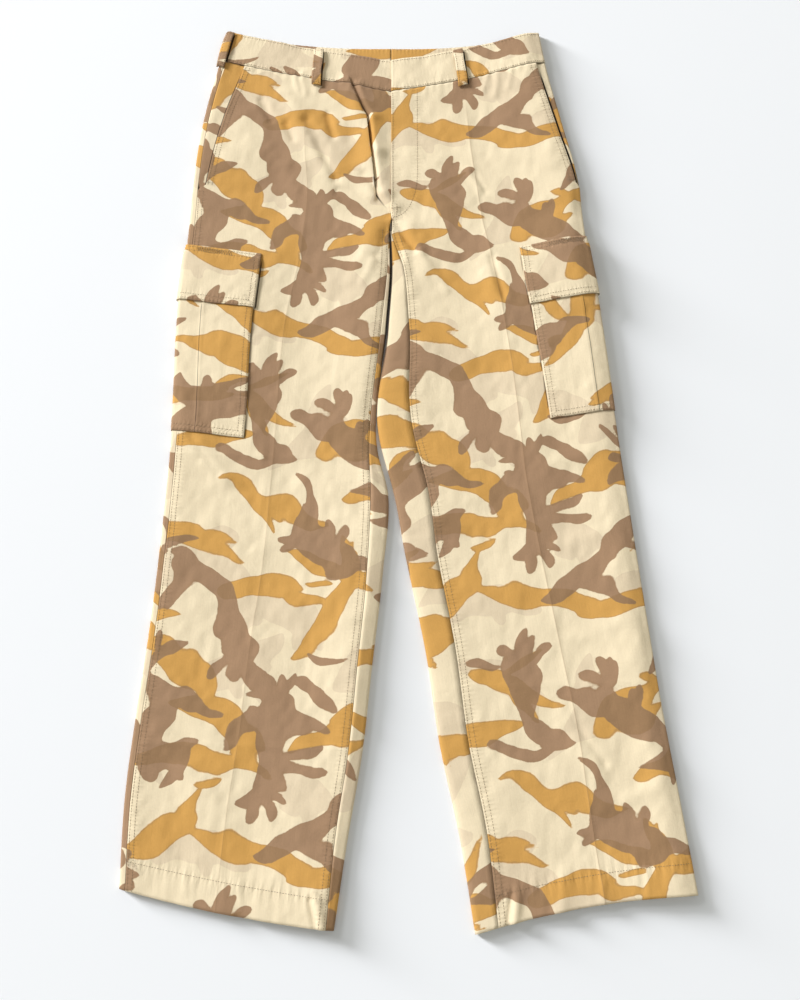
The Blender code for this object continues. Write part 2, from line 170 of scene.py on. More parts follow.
# Smaller wrinkles, the same columns. A height under 0 is a trough. A seventh value over 0 makes the side
# on the right of a downward run steep, under 0 the left.
wrinkles = (
    (-76, 572, -58, 522, 12, 0.7),
    (-64, 500, -58, 400, 15, -0.8),
    (-56, 574, -37, 524, 7, 1.8, -0.5),
    (-36, 522, -30, 474, 9, 2.8, -0.4),
    (-30, 472, -23, 414, 9, 2.7, -0.4),
    (-20, 410, -8, 392, 7, 2.0, -0.5),
    (-118, 506, -84, 444, 10, 1.5, 0.5),
    (-150, 560, -120, 500, 12, 0.9, 0.3),
    (-98, 590, -84, 548, 8, 0.9, 0.3),
    (-66, 577, -45, 528, 4, -2.0),
    (-44, 526, -39, 474, 3.5, -3.2),
    (-38, 474, -32, 410, 3.5, -3.2),
    (-31, 408, -15, 388, 4, -2.0),
    (-125, 520, -84, 437, 7, -3.2),
    (-186, 552, -172, 522, 5, -2.2),
    (-152, 516, -142, 494, 5, -1.9),
    (-97, 529, -89, 498, 4.5, -2.2),
    (-80, 416, -22, 382, 6, -2.4),
    (-53, 441, -19, 386, 5, -2.2),
    (-143, 594, -137, 566, 4, 0.9),
    (-131, 592, -127, 560, 4, 0.8),
    (-118, 588, -112, 566, 4, 0.6),
    (118, 590, 112, 566, 4, 0.8),
    (132, 592, 128, 560, 5, 0.9),
    (150, 594, 146, 570, 4, 0.7),
    (-8, 371, 19, 332, 5, -2.4),
    (-8, 359, 2, 318, 4, -2.0),
    (-16, 356, -30, 322, 5, -2.0),
    (-20, 344, -48, 284, 6, 1.1),
    (30, 348, 70, 322, 7, 1.2),
    (24, 330, 60, 276, 6, 1.2),
    (90, 446, 104, 420, 5, 0.8),
    (98, 442, 112, 416, 4, -0.7),
    (150, 470, 196, 452, 9, 0.8),
    (-200, 480, -150, 452, 9, 0.8),
    (-214, 400, -168, 372, 10, 0.7),
    (-258, 80, -223, 32, 5, -1.1),
    (-240, 44, -196, 20, 7, 0.8),
    (-216, -37, -182, -60, 6, -1.0),
    (-120, 18, -60, -4, 10, 0.9),
    (-70, 60, -38, 26, 8, 0.9),
    (-60, -20, -24, -50, 8, 0.8),
    (-248, -110, -196, -128, 9, 0.7),
    (-110, -118, -58, -146, 10, 0.8),
    (-272, -214, -226, -238, 8, 0.7),
    (-96, -236, -54, -262, 8, 0.7),
    (-250, -318, -210, -346, 8, 0.8),
    (-150, -362, -96, -384, 9, 0.7),
    (118, 320, 132, 266, 5, -1.9),
    (30, 200, 84, 172, 10, 0.8),
    (-4, 128, 44, 96, 9, 0.9),
    (8, 60, 66, 40, 9, 0.9),
    (176, 40, 236, 62, 9, 0.8),
    (16, -8, 70, -34, 10, 0.8),
    (190, -60, 250, -38, 9, 0.8),
    (44, -130, 100, -158, 10, 0.8),
    (206, -272, 234, -312, 5, -1.0),
    (206, -170, 264, -148, 9, 0.7),
    (74, -262, 128, -286, 9, 0.7),
    (236, -360, 288, -338, 9, 0.8),
    (-100, -458, -93, -488, 3.2, -1.5),
    (-90, -460, -84, -486, 4, 0.9),
    (-180, -440, -176, -462, 4, 0.6),
    (-240, -432, -238, -452, 4, 0.5),
    (124, -452, 119, -486, 3.2, -1.5),
    (133, -452, 128, -484, 4, 0.9),
    (228, -438, 224, -462, 4, 0.6),
    (276, -432, 274, -452, 4, 0.5),
    (-278, 57, -34, 50, 2.5, 0.45),
    (-298, -288, -52, -297, 2.5, 0.45),
    (48, -226, 288, -221, 2.5, 0.4),
)

# Where a fold leans over to the right: start x, y, end x, y, reach on its right and left, lean, all in mm.
leans = (
    (-72, 576, -52, 524, 4.5, 15, 5.0),
    (-52, 524, -46, 470, 4.0, 15, 7.5),
    (-46, 470, -40, 412, 4.0, 15, 8.0),
    (-40, 412, -22, 386, 4.0, 12, 5.0),
)
leanFade = 14  # mm past its ends

cargoSizes = {
    "halfWidth": 90 * mm,
    "taper": 0.06,
    "overhang": 1.5 * mm,
    "pleat": 22 * mm,
    "pleatStep": 2 * mm,
    "pleatWall": 1.8 * mm,
    "flapWall": 1.5 * mm,
    "liftFade": 60 * mm,
    "liftBelow": 4 * mm,
    "liftBeside": 14 * mm,
}
flySizes = {
    "underlap": 12 * mm,
    "lift": 1.7 * mm,
    "liftFade": 30 * mm,
    "reach": 38 * mm,
    "curveInset": 35.5 * mm,
    "edgeInset": 4 * mm,
    "turnStart": 128 * mm,
    "turnEnd": 196 * mm,
}


def smoothStep(t):
    t = np.clip(t, 0.0, 1.0)
    return t * t * (3 - 2 * t)


def tableValue(half, column, down):
    rows = np.array(stations[half])
    knots = rows[:, 0] * mm
    values = rows[:, stationColumns.index(column)]
    slopes = np.gradient(values, knots)
    down = np.clip(down, knots[0], knots[-1])
    i = np.clip(np.searchsorted(knots, down, side="right") - 1, 0, len(knots) - 2)
    span = knots[i + 1] - knots[i]
    t = (down - knots[i]) / span
    a, b = slopes[i] * span, slopes[i + 1] * span
    return (
        values[i] * (2 * t**3 - 3 * t**2 + 1)
        + a * (t**3 - 2 * t**2 + t)
        + values[i + 1] * (3 * t**2 - 2 * t**3)
        + b * (t**3 - t**2)
    )


def between(lattice, u, v, ease=None):
    # a value between the four nearest cells of a lattice that meets itself at its edges
    iu, iv = np.floor(u).astype(int), np.floor(v).astype(int)
    fu, fv = u - iu, v - iv
    if ease:
        fu, fv = ease(fu), ease(fv)
    wide, deep = lattice.shape
    near = lattice[iu % wide, iv % deep] * (1 - fu) + lattice[(iu + 1) % wide, iv % deep] * fu
    far = lattice[iu % wide, (iv + 1) % deep] * (1 - fu) + lattice[(iu + 1) % wide, (iv + 1) % deep] * fu
    return near * (1 - fv) + far * fv


def softNoise(x, y, size, seed):
    # from -1 to 1, about one bump every size
    lattice = np.random.default_rng(seed).uniform(-1, 1, (64, 64))
    return between(lattice, x / size, y / size, smoothStep)


def ridge(x, y, run):
    x0, y0, x1, y1, width, height = run[:6]
    skew = run[6] if len(run) > 6 else 0.0
    length = math.hypot(x1 - x0, y1 - y0)
    along = ((x - x0) * (x1 - x0) + (y - y0) * (y1 - y0)) / length**2
    across = ((x - x0) * (y1 - y0) - (y - y0) * (x1 - x0)) / length
    past = np.maximum(np.maximum(-along, along - 1), 0) * length / width
    side = width * (1 + skew * np.sign(across))
    return height * mm * np.exp(-((across / side) ** 2) - past**2)


def foldHeight(x, y):
    total = np.zeros_like(x)
    for run in folds:
        total = np.maximum(total, ridge(x, y, run))
    return total


def leanAside(x, y):
    total = np.zeros_like(x)
    for x0, y0, x1, y1, right, left, lean in leans:
        length = math.hypot(x1 - x0, y1 - y0)
        along = ((x - x0) * (x1 - x0) + (y - y0) * (y1 - y0)) / length**2
        aside = ((y - y0) * (x1 - x0) - (x - x0) * (y1 - y0)) / length
        past = np.maximum(np.maximum(-along, along - 1), 0) * length / leanFade
        reach = np.where(aside > 0, right, left)
        total = np.maximum(total, lean * mm * np.exp(-((aside / reach) ** 2) - past**2))
    return total


reliefSizes = {
    "creaseHeight": 0.9 * mm,
    "creaseWidth": 2.2 * mm,
    "creaseTent": 9 * mm,
    "creaseSharp": 0.6,
    "creaseStart": 20 * mm,
    "creaseGrowth": 90 * mm,
    "creaseUneven": (0.2, 90, 6),
    "puckerHeight": 0.36 * mm,
    "puckerReach": 9 * mm,
    "puckerEvery": 10.5,
    "puckerWander": (2.2, 24, 8),
    "inseamPuckers": 12 * mm,
    "wrinkles": 1.65,
}

# Uneven ground: x by x and by y, y by y, mm from bump to bump, seed, height in mm.
unevenness = (
    (1.3, 0.0, 0.7, 70, 3, 1.4),
    (1.2, 0.3, 0.8, 32, 4, 1.05),
    (1.4, -0.2, 1.0, 13, 5, 0.5),
)


def creaseFade(down):
    return smoothStep((down - reliefSizes["creaseStart"]) / reliefSizes["creaseGrowth"])


def creaseHeight(half, y, down, fromOuter):
    # the pressed crease, sharp on a soft tent, fading toward the waist
    away = np.abs(fromOuter - tableValue(half, "crease", down) * mm)
    uneven, size, seed = reliefSizes["creaseUneven"]
    pressed = creaseFade(down) * (1 - uneven + uneven * softNoise(y * 0, y, size, seed))
    sharp = reliefSizes["creaseSharp"]
    shape = sharp * np.exp(-away / reliefSizes["creaseWidth"])
    shape = shape + (1 - sharp) * np.exp(-away / reliefSizes["creaseTent"])
    return pressed * reliefSizes["creaseHeight"] * shape


def puckerHeights(x, y, down, fromOuter, fromInside):
    # where a seam or hem draws the cloth in: puckers along level seams, then along upright ones
    most, size, seed = reliefSizes["puckerWander"]
    wander = most * softNoise(x, y, size, seed)
    across = np.sin(2 * math.pi * x / reliefSizes["puckerEvery"] + wander)
    lengthways = np.sin(2 * math.pi * y / reliefSizes["puckerEvery"] + wander)
    reach = reliefSizes["puckerReach"]
    level = np.exp(-np.abs(down) / reach) + np.exp(-np.abs(down - laidTube["hemFold"]) / reach)
    upright = np.exp(-np.abs(fromInside - reliefSizes["inseamPuckers"]) / reach) * valley(down)
    upright = upright + np.exp(-fromOuter / reach)
    height = reliefSizes["puckerHeight"]
    return height * across * np.minimum(level, 1), height * lengthways * np.minimum(upright, 1)


def wrinkleHeight(half, x, y, down, fromOuter, fromInside):
    total = np.zeros_like(x)
    for run in wrinkles:
        total += ridge(x, y, run) * reliefSizes["wrinkles"]
    ground = 0
    for xByX, xByY, yByY, size, seed, height in unevenness:
        ground = ground + softNoise(x * xByX + y * xByY, y * yByY, size, seed) * height
    total += ground * mm
    total += creaseHeight(half, y, down, fromOuter)
    for puckers in puckerHeights(x, y, down, fromOuter, fromInside):
        total += puckers
    return total


def valley(down):
    return smoothStep((down - laidTube["valleyStart"]) / (laidTube["crotch"] - laidTube["valleyStart"]))


def cargoHalfWidth(down):
    span = laidTube["pocketBottom"] - laidTube["flapBottom"]
    share = np.clip((down - laidTube["flapBottom"]) / span, 0.0, 1.0)
    return cargoSizes["halfWidth"] * (1 - cargoSizes["taper"] * share)


def cargoLift(down, fromOuter):
    pocket = laidTube["layerGap"] + cargoSizes["pleatWall"]
    flap = laidTube["layerGap"] + cargoSizes["flapWall"]
    fade = cargoSizes["liftFade"]
    below, beside = cargoSizes["liftBelow"], cargoSizes["liftBeside"]
    up = smoothStep((down - laidTube["flapTop"] + fade) / fade)
    out = 1 - smoothStep((down - laidTube["pocketBottom"] - below) / fade)
    flapOut = 1 - smoothStep((down - laidTube["flapBottom"] - below) / (fade / 2))
    inward = 1 - smoothStep((fromOuter - cargoSizes["halfWidth"] - beside) / fade)
    return (pocket * out + flap * flapOut) * up * inward


def rim(distance):
    t = np.clip(distance / laidTube["foldDepth"], 0.0, 1.0)
    return np.sqrt(np.maximum(0.0, 1 - (1 - t) ** 2))


def stand(distance):
    # how far a leg's top stands up near its edge
    rise = 1 - np.exp(-((distance / laidTube["riseMargin"]) ** 2))
    return rise * np.exp(-((distance / laidTube["riseReach"]) ** 2))


# The left half is moved over to close the slit between the legs: how far, how near the edge, and from
# where above the crotch to where above the pocket's bottom, each with its fade.
crotchSizes = {
    "close": 2.2 * mm,
    "reach": 8 * mm,
    "above": 6 * mm,
    "aboveFade": 16 * mm,
    "end": 60 * mm,
    "endFade": 120 * mm,
}


def crotchReach(down):
    start = smoothStep((down - laidTube["crotch"] + crotchSizes["above"]) / crotchSizes["aboveFade"])
    left = laidTube["pocketBottom"] - crotchSizes["end"] - down
    return start * smoothStep(left / crotchSizes["endFade"])


def rowEnds(half, down):
    # outer x and y, inner x and y, in mm
    return [tableValue(half, column, down) for column in stationColumns[1:5]]


def tubePoint(half, down, s, fromInner=False):
    # s is the way round from the fold, plus on top and minus below
    down, s = np.broadcast_arrays(np.asarray(down, float), np.asarray(s, float))
    top = s >= 0
    reach = np.abs(s)
    inFold = reach < laidTube["foldArc"]
    angle = math.pi / 2 * np.minimum(reach / laidTube["foldArc"], 1.0)
    depth = laidTube["foldDepth"]
    distance = np.where(inFold, depth * (1 - np.cos(angle)), depth + reach - laidTube["foldArc"])
    fold = np.where(inFold, np.sin(angle), 1.0)
    held = np.clip(down, laidTube["bandTop"], laidTube["hem"])
    outerX, outerY, innerX, innerY = (end * mm for end in rowEnds(half, held))
    innerY = innerY + np.where(top, 0.0, tableValue(half, "backRise", held) * mm)
    width = np.hypot(innerX - outerX, innerY - outerY)
    fromOuter = width - distance if fromInner else distance
    fromInside = width - fromOuter
    share = fromOuter / width
    x = outerX + (innerX - outerX) * share
    y = outerY + (innerY - outerY) * share
    sag = tableValue(half, "sag", held) * mm
    sag = np.where(~top & (held < laidTube["mouthEnd"]), sag * laidTube["backSag"], sag)
    y = y - sag * 4 * share * (1 - np.minimum(share, 1.0)) - (down - held)
    parted = valley(held)
    level = 1 - parted * (1 - fold) if fromInner else fold * (1 - parted * (1 - rim(fromInside)))
    middle = laidTube["foldHeight"] / 2
    swell = np.exp(-fromOuter / laidTube["swellReach"])
    swell = swell + parted * np.exp(-np.maximum(fromInside, 0) / laidTube["swellReach"])
    fade = laidTube["bulkFade"]
    fuller = laidTube["foldHeight"] - laidTube["flatHeight"]
    height = laidTube["flatHeight"] + fuller * np.minimum(swell, 1)
    height = height + laidTube["bandBulk"] * (1 - smoothStep(np.abs(down) / fade))
    height = height + laidTube["hemBulk"] * smoothStep((down - laidTube["hemFold"] + fade) / fade)
    bulk = 1 - smoothStep((fromOuter - laidTube["pocketBulkReach"]) / fade)
    height = height + laidTube["pocketBulk"] * bulk * (1 - smoothStep((down - laidTube["mouthEnd"]) / fade))
    margin = 1 - np.exp(-((fromOuter / laidTube["reliefMargin"]) ** 2))
    height = height + foldHeight(x / mm, y / mm) * margin
    inner = 1 - parted * np.exp(-((fromInside / laidTube["reliefMargin"]) ** 2))
    outerRise, innerRise = laidTube["edgeRise"][half]
    height = height + outerRise * stand(fromOuter) + innerRise * parted * stand(fromInside)
    detail = wrinkleHeight(half, x / mm, y / mm, held, fromOuter, fromInside)
    height = height + (laidTube["fullness"] + detail) * margin * inner
    height = np.maximum(height, laidTube["leastHeight"])
    z = np.where(top, middle + level * (height - middle), middle * (1 - level))
    z = z + cargoLift(down, fromOuter)
    x = x + np.where(top, leanAside(x / mm, y / mm), 0.0)
    if half == "left":
        near = np.exp(-((fromInside / crotchSizes["reach"]) ** 2))
        x = x - crotchSizes["close"] * crotchReach(held) * near
    return np.stack([x - drawingMiddle[0] * mm, y - drawingMiddle[1] * mm, z], axis=-1)


def layeredPoint(half, down, s, fromInner=False, layer=0.0):
    # the tube's point moved out by a layer, and the way out
    step = 0.2 * mm
    across = tubePoint(half, down, s + step, fromInner) - tubePoint(half, down, s - step, fromInner)
    along = tubePoint(half, down + step, s, fromInner) - tubePoint(half, down - step, s, fromInner)
    outward = np.cross(along, across) * (1 if (half == "right") != fromInner else -1)
    outward /= np.linalg.norm(outward, axis=-1, keepdims=True)
    layer = np.broadcast_to(np.asarray(layer, float), outward.shape[:-1])
    return tubePoint(half, down, s, fromInner) + outward * layer[..., None], outward


def rowWidth(half, down, below=False):
    held = np.clip(down, laidTube["bandTop"], laidTube["hem"])
    outerX, outerY, innerX, innerY = rowEnds(half, held)
    rise = tableValue(half, "backRise", held) if below else 0
    return np.hypot(innerX - outerX, innerY - outerY + rise) * mm


# The print: own motifs, grown by rule and strewn over one repeat of the cloth.
printRule = {
    "repeat": (560.0, 630.0),  # mm across and down the cloth
    "cell": 1.5,
    "seed": 23,
    "blend": 3.4,
    "trim": 0.7,
    "rim": 4.5,
    "hole": 6,  # a hole less deep than this is closed
    "reach": 34,
    "far": 30.0,
    "wander": ((13, 15), 11.0),  # bumps across and down the repeat, mm aside
    "wobble": ((27, 30), 3.4),
    "grain": {"right": -3.15, "left": 7.3},
}

# Of each kind of motif: how long, how wide to each side at its fullest, how wide at its tip, in mm.
motifSizes = {
    "limb": {"long": (120, 190), "thick": (11, 16), "tip": 3.0},
    "arm": {"long": (50, 95), "thick": (7, 10.5), "tip": 3.2},
    "drift": {"long": (100, 190), "thick": (10, 19), "tip": 1.6},
    "patch": {"long": (80, 150), "thick": (15, 25), "tip": 4},
    "scrap": {"long": (28, 60), "thick": (3.5, 6), "tip": 0.8},
}


def drawSizes(rng, motif):
    sizes = motifSizes[motif]
    return rng.uniform(*sizes["long"]), rng.uniform(*sizes["thick"]), sizes["tip"]


def growRun(rng, u, v, heading, length, thick, tip, curl=0.0, full=0.5, sway=0.12, lobes=0.14):
    # a lobed run of (u, v, half width) that curls one way, thickest at the share full of its length
    pitch, squash = 9, 0.85
    count = max(4, int(length / pitch))
    run = []
    for k in range(count + 1):
        t = k / count
        swell = math.sin(math.pi * min(t ** (math.log(0.5) / math.log(full)), 1.0))
        run.append((u, v, tip + (thick - tip) * max(swell, 0.0) * (1 + lobes * rng.uniform(-1, 1))))
        heading += curl / count + rng.normal(0, sway)
        u += math.cos(heading) * length / count
        v += math.sin(heading) * length / count * squash
    return run


def rounded(run):
    # cuts the corners of a run twice, ends kept
    for _ in range(2):
        path = np.array(run)
        near, far = path[:-1] * 0.75 + path[1:] * 0.25, path[:-1] * 0.25 + path[1:] * 0.75
        cut = np.stack([near, far], axis=1).reshape(-1, 3)
        run = [tuple(path[0]), *map(tuple, cut[1:-1]), tuple(path[-1])]
    return run


def headingAt(run, k):
    return math.atan2(run[k + 1][1] - run[k][1], run[k + 1][0] - run[k][0])


def growComb(rng, at, heading, fan, count, length, thick, curl):
    # rounded fingers side by side, the middle ones longest, all bending one way
    runs = []
    for k in range(count):
        place = (k + 0.5) / count - 0.5
        turn = heading + fan * place + rng.normal(0, 0.1)
        aside = place * thick * count * 1.15
        start = (at[0] - math.sin(heading) * aside, at[1] + math.cos(heading) * aside)
        long = length * (1.15 - abs(place)) * rng.uniform(0.75, 1.25)
        wide = thick * rng.uniform(1.0, 1.3)
        finger = growRun(rng, *start, turn, long, wide, thick * 0.8, curl, full=0.75, sway=0.1, lobes=0.3)
        runs.append(finger)
    return runs


def growBranch(rng, u, v):
    # a curling limb, lobed arms that leave it forward like flames, and fingers at its end
    heading = rng.choice([0.0, math.pi]) + rng.normal(0.1, 0.4)
    curl = rng.choice([-1, 1]) * rng.uniform(0.5, 1.6)
    full = rng.uniform(0.35, 0.6)
    limb = growRun(rng, u, v, heading, *drawSizes(rng, "limb"), curl, full, sway=0.2, lobes=0.45)
    runs = [limb]
    side = rng.choice([-1, 1])
    arms = int(rng.integers(3, 6))
    for j in range(arms):
        side = -side if rng.random() < 0.6 else side
        k = 1 + int((j + rng.uniform(0.1, 0.9)) / arms * (len(limb) - 4))
        turn = headingAt(limb, k) + side * rng.uniform(0.5, 1.2)
        bendy = -side * rng.uniform(0.1, 1.3)
        place, sizes = limb[k][:2], drawSizes(rng, "arm")
        arm = growRun(rng, *place, turn, *sizes, bendy, full=0.4, sway=0.22, lobes=0.5)
        runs.append(arm)
        if rng.random() < 0.35:
            runs += growComb(rng, arm[len(arm) // 2], turn + side * 0.8, 1.0, 2, 30, 4.2, bendy * 0.4)
    if rng.random() < 0.6:
        at, turn = limb[-2], headingAt(limb, len(limb) - 2)
        runs += growComb(rng, at, turn, 1.7, int(rng.integers(3, 5)), 42, 4.8, -curl * 0.4)
    return runs


def growDrift(rng, u, v):
    # a long low swoosh, fuller toward one end, with a pointed lobe or a split tail
    heading = rng.normal(-0.12, 0.2)
    full = rng.uniform(0.3, 0.7)
    curl = rng.normal(0, 0.5)
    body = growRun(rng, u, v, heading, *drawSizes(rng, "drift"), curl, full)
    runs = [body]
    for _ in range(int(rng.integers(1, 4))):
        k = int(rng.integers(1, len(body) - 2))
        side = rng.choice([-1, 1])
        turn = headingAt(body, k) + side * rng.uniform(0.3, 0.75)
        long = rng.uniform(34, 76)
        runs.append(growRun(rng, *body[k][:2], turn, long, thick=7.5, tip=1.4, curl=-side * 0.4, full=0.3))
    return runs


def growPatch(rng, u, v):
    # broad and pale, split like a leaf
    heading = rng.normal(0, 0.4)
    body = growRun(rng, u, v, heading, *drawSizes(rng, "patch"), rng.normal(0, 0.6))
    return [body, *growComb(rng, body[len(body) // 2], heading + 0.6, 1.2, 3, 44, 6.5, 0.3)]


def growScrap(rng, u, v):
    return [growRun(rng, u, v, rng.normal(0, 0.35), *drawSizes(rng, "scrap"), rng.normal(0, 0.6))]


def tileNoise(shape, cells, seed):
    # soft noise from -1 to 1 that meets itself at the repeat's edges
    lattice = np.random.default_rng(seed).uniform(-1, 1, cells)
    u = np.arange(shape[0])[:, None] * cells[0] / shape[0] + np.zeros(shape)
    v = np.arange(shape[1])[None, :] * cells[1] / shape[1] + np.zeros(shape)
    return between(lattice, u, v, smoothStep)


def cellsWithin(one, other, reach):
    first, last = min(one, other) - reach, max(one, other) + reach
    return np.arange(math.floor(first / printRule["cell"]), math.ceil(last / printRule["cell"]))


def printField(runs, seed):
    # signed distance in mm over one repeat, less than 0 inside the colour
    cell, (wide, deep) = printRule["cell"], printRule["repeat"]
    across, downward = int(wide / cell), int(deep / cell)
    field = np.full((across, downward), printRule["far"])
    (wanderCells, wander), (wobbleCells, wobble) = printRule["wander"], printRule["wobble"]
    bends = []
    for k in range(2):
        slow = tileNoise(field.shape, wanderCells, seed + k) * wander
        bends.append(slow + tileNoise(field.shape, wobbleCells, seed + 10 + k) * wobble)
    for run in map(rounded, runs):
        for (u0, v0, r0), (u1, v1, r1) in zip(run, run[1:]):
            reach = max(r0, r1) + printRule["reach"]
            iu, iv = cellsWithin(u0, u1, reach), cellsWithin(v0, v1, reach)
            place = np.ix_(iu % across, iv % downward)
            gu, gv = np.meshgrid(iu * cell, iv * cell, indexing="ij")
            gu, gv = gu + bends[0][place], gv + bends[1][place]
            square = max((u1 - u0) ** 2 + (v1 - v0) ** 2, 1e-6)
            t = np.clip(((gu - u0) * (u1 - u0) + (gv - v0) * (v1 - v0)) / square, 0, 1)
            away = np.hypot(gu - u0 - (u1 - u0) * t, gv - v0 - (v1 - v0) * t) - (r0 + (r1 - r0) * t)
            old = field[place]
            h = np.clip(0.5 + 0.5 * (old - away) / printRule["blend"], 0, 1)
            field[place] = old * (1 - h) + away * h - printRule["blend"] * h * (1 - h)
    return filled(field + printRule["trim"])


def widened(cells):
    # the chosen cells and their neighbours, across the repeat's edges too
    wider = cells.copy()
    for axis, step in ((0, -1), (0, 1), (1, -1), (1, 1)):
        wider |= np.roll(cells, step, axis)
    return wider


def filled(field):
    # closes the small holes inside a motif and keeps its inside well away from zero
    outside = field > printRule["hole"]
    for _ in range(80):
        outside = widened(outside) & (field > 0)
    field = np.where((field > 0) & ~outside, -field, field)
    near = outside
    for _ in range(round(printRule["rim"] / printRule["cell"])):
        near = widened(near)
    return np.where(near, field, np.minimum(field, -printRule["rim"] / 2))


# Colour -> rows of motifs: what grows, mm from row to row, how many in a row, how many mm they stray.
layout = {
    "brown": ((growBranch, 105.0, 3, 24.0), (growScrap, 315.0, 3, 40.0)),
    "ochre": ((growDrift, 66.0, 3, 20.0), (growScrap, 200.0, 3, 40.0)),
    "beige": ((growPatch, 90.0, 3, 30.0),),
}


def strewPrint():
    rng = np.random.default_rng(printRule["seed"])
    wide, deep = printRule["repeat"]
    fields = {}
    for colour, sorts in layout.items():
        runs = []
        for grow, rowStep, perRow, stray in sorts:
            rows = round(deep / rowStep)
            for i, j in np.ndindex(rows, perRow):
                u = (j + 0.5 * (i % 2)) * wide / perRow + rng.uniform(-stray, stray) * 1.6
                v = i * deep / rows + rng.uniform(-stray, stray)
                runs += grow(rng, u, v)
        fields[colour] = printField(runs, printRule["seed"] + len(fields) * 30)
    return fields


printFields = strewPrint()
for colour, field in printFields.items():
    print("print", colour, "covers", round(float((field < 0).mean()), 3))


def clothPlace(half, down, s, turned=None):
    # where a point lies on the flat cloth, in mm, unrolled round the outer fold and set to the grain
    held = np.clip(down, laidTube["bandTop"], laidTube["hem"])
    outerX, outerY, innerX, innerY = rowEnds(half, held)
    share = s / mm / np.hypot(innerX - outerX, innerY - outerY)
    u = outerX + (innerX - outerX) * share
    v = -(outerY + (innerY - outerY) * np.abs(share)) + (down - held) / mm
    angle = math.radians(printRule["grain"][half] if turned is None else turned)
    return u * math.cos(angle) - v * math.sin(angle), u * math.sin(angle) + v * math.cos(angle)


def steps(start, end, pitch):
    return np.linspace(start, end, max(2, int(round(abs(end - start) / pitch)) + 1))


columnSteps = {
    "edge": np.array([0, 0.8, 1.7, 2.8, 4.2, 6.2]) * mm,
    "inner": 8.6 * mm,
    "fold": np.array([7, 4.9, 3.8, 2.6, 1.3, 0.0, -1.3, -2.6, -3.8, -4.9, -7]) * mm,
    "closerFade": 0.06,
}


def closerShares(count, first, last, factor):
    # shares from 0 to 1 that lie closer together from first to last
    fine, fade = np.linspace(0, 1, 400), columnSteps["closerFade"]
    dense = 1 + (factor - 1) * smoothStep((fine - first) / fade) * (1 - smoothStep((fine - last) / fade))
    run = np.concatenate([[0], np.cumsum((dense[1:] + dense[:-1]) / 2)])
    return np.interp(np.linspace(0, run[-1], count), run, fine)


def panelColumns(start, end, count, closer=None):
    # columns from start to end for each row, closer together at both edges and over a stretch of shares
    start, end = np.asarray(start)[:, None], np.asarray(end)[:, None]
    sign, edge, inner = np.sign(end - start), columnSteps["edge"], columnSteps["inner"]
    shares = closerShares(count, *closer) if closer else np.linspace(0, 1, count)
    middle = start + sign * inner + (end - start - 2 * sign * inner) * shares
    return np.concatenate([start + sign * edge, middle, end - sign * edge[::-1]], axis=1)


def roundColumns(front, back, first, count):
    # columns from the front end round the outer fold to the back end, closer together on the fold
    ahead = first + (front[:, None] - first) * np.linspace(1, 0, count)
    behind = -first + (back[:, None] + first) * np.linspace(0, 1, count)
    fold = columnSteps["fold"]
    return np.concatenate([ahead, np.broadcast_to(fold, (len(front), len(fold))), behind], axis=1)


def eachRow(downs, s):
    return np.broadcast_to(downs[:, None], s.shape)


def flyLift(half, down, fromCentre):
    if half == "right":
        return np.zeros(np.broadcast(down, fromCentre).shape)
    fade = 1 - smoothStep((down - laidTube["flyEnd"]) / flySizes["liftFade"])
    away = smoothStep((fromCentre - flySizes["underlap"] - 2 * mm) / flySizes["reach"])
    return flySizes["lift"] * fade * (1 - away)


def mouthEdge(half, down):
    top, end = laidTube["mouth"][half]
    return top + (end - top) * (down - laidTube["mouthTop"]) / (laidTube["mouthEnd"] - laidTube["mouthTop"])


def store(mesh, name, values):
    mesh.attributes.new(name, "FLOAT", "POINT").data.foreach_set("value", values)


farOff = 99.0  # a distance for where there is no line


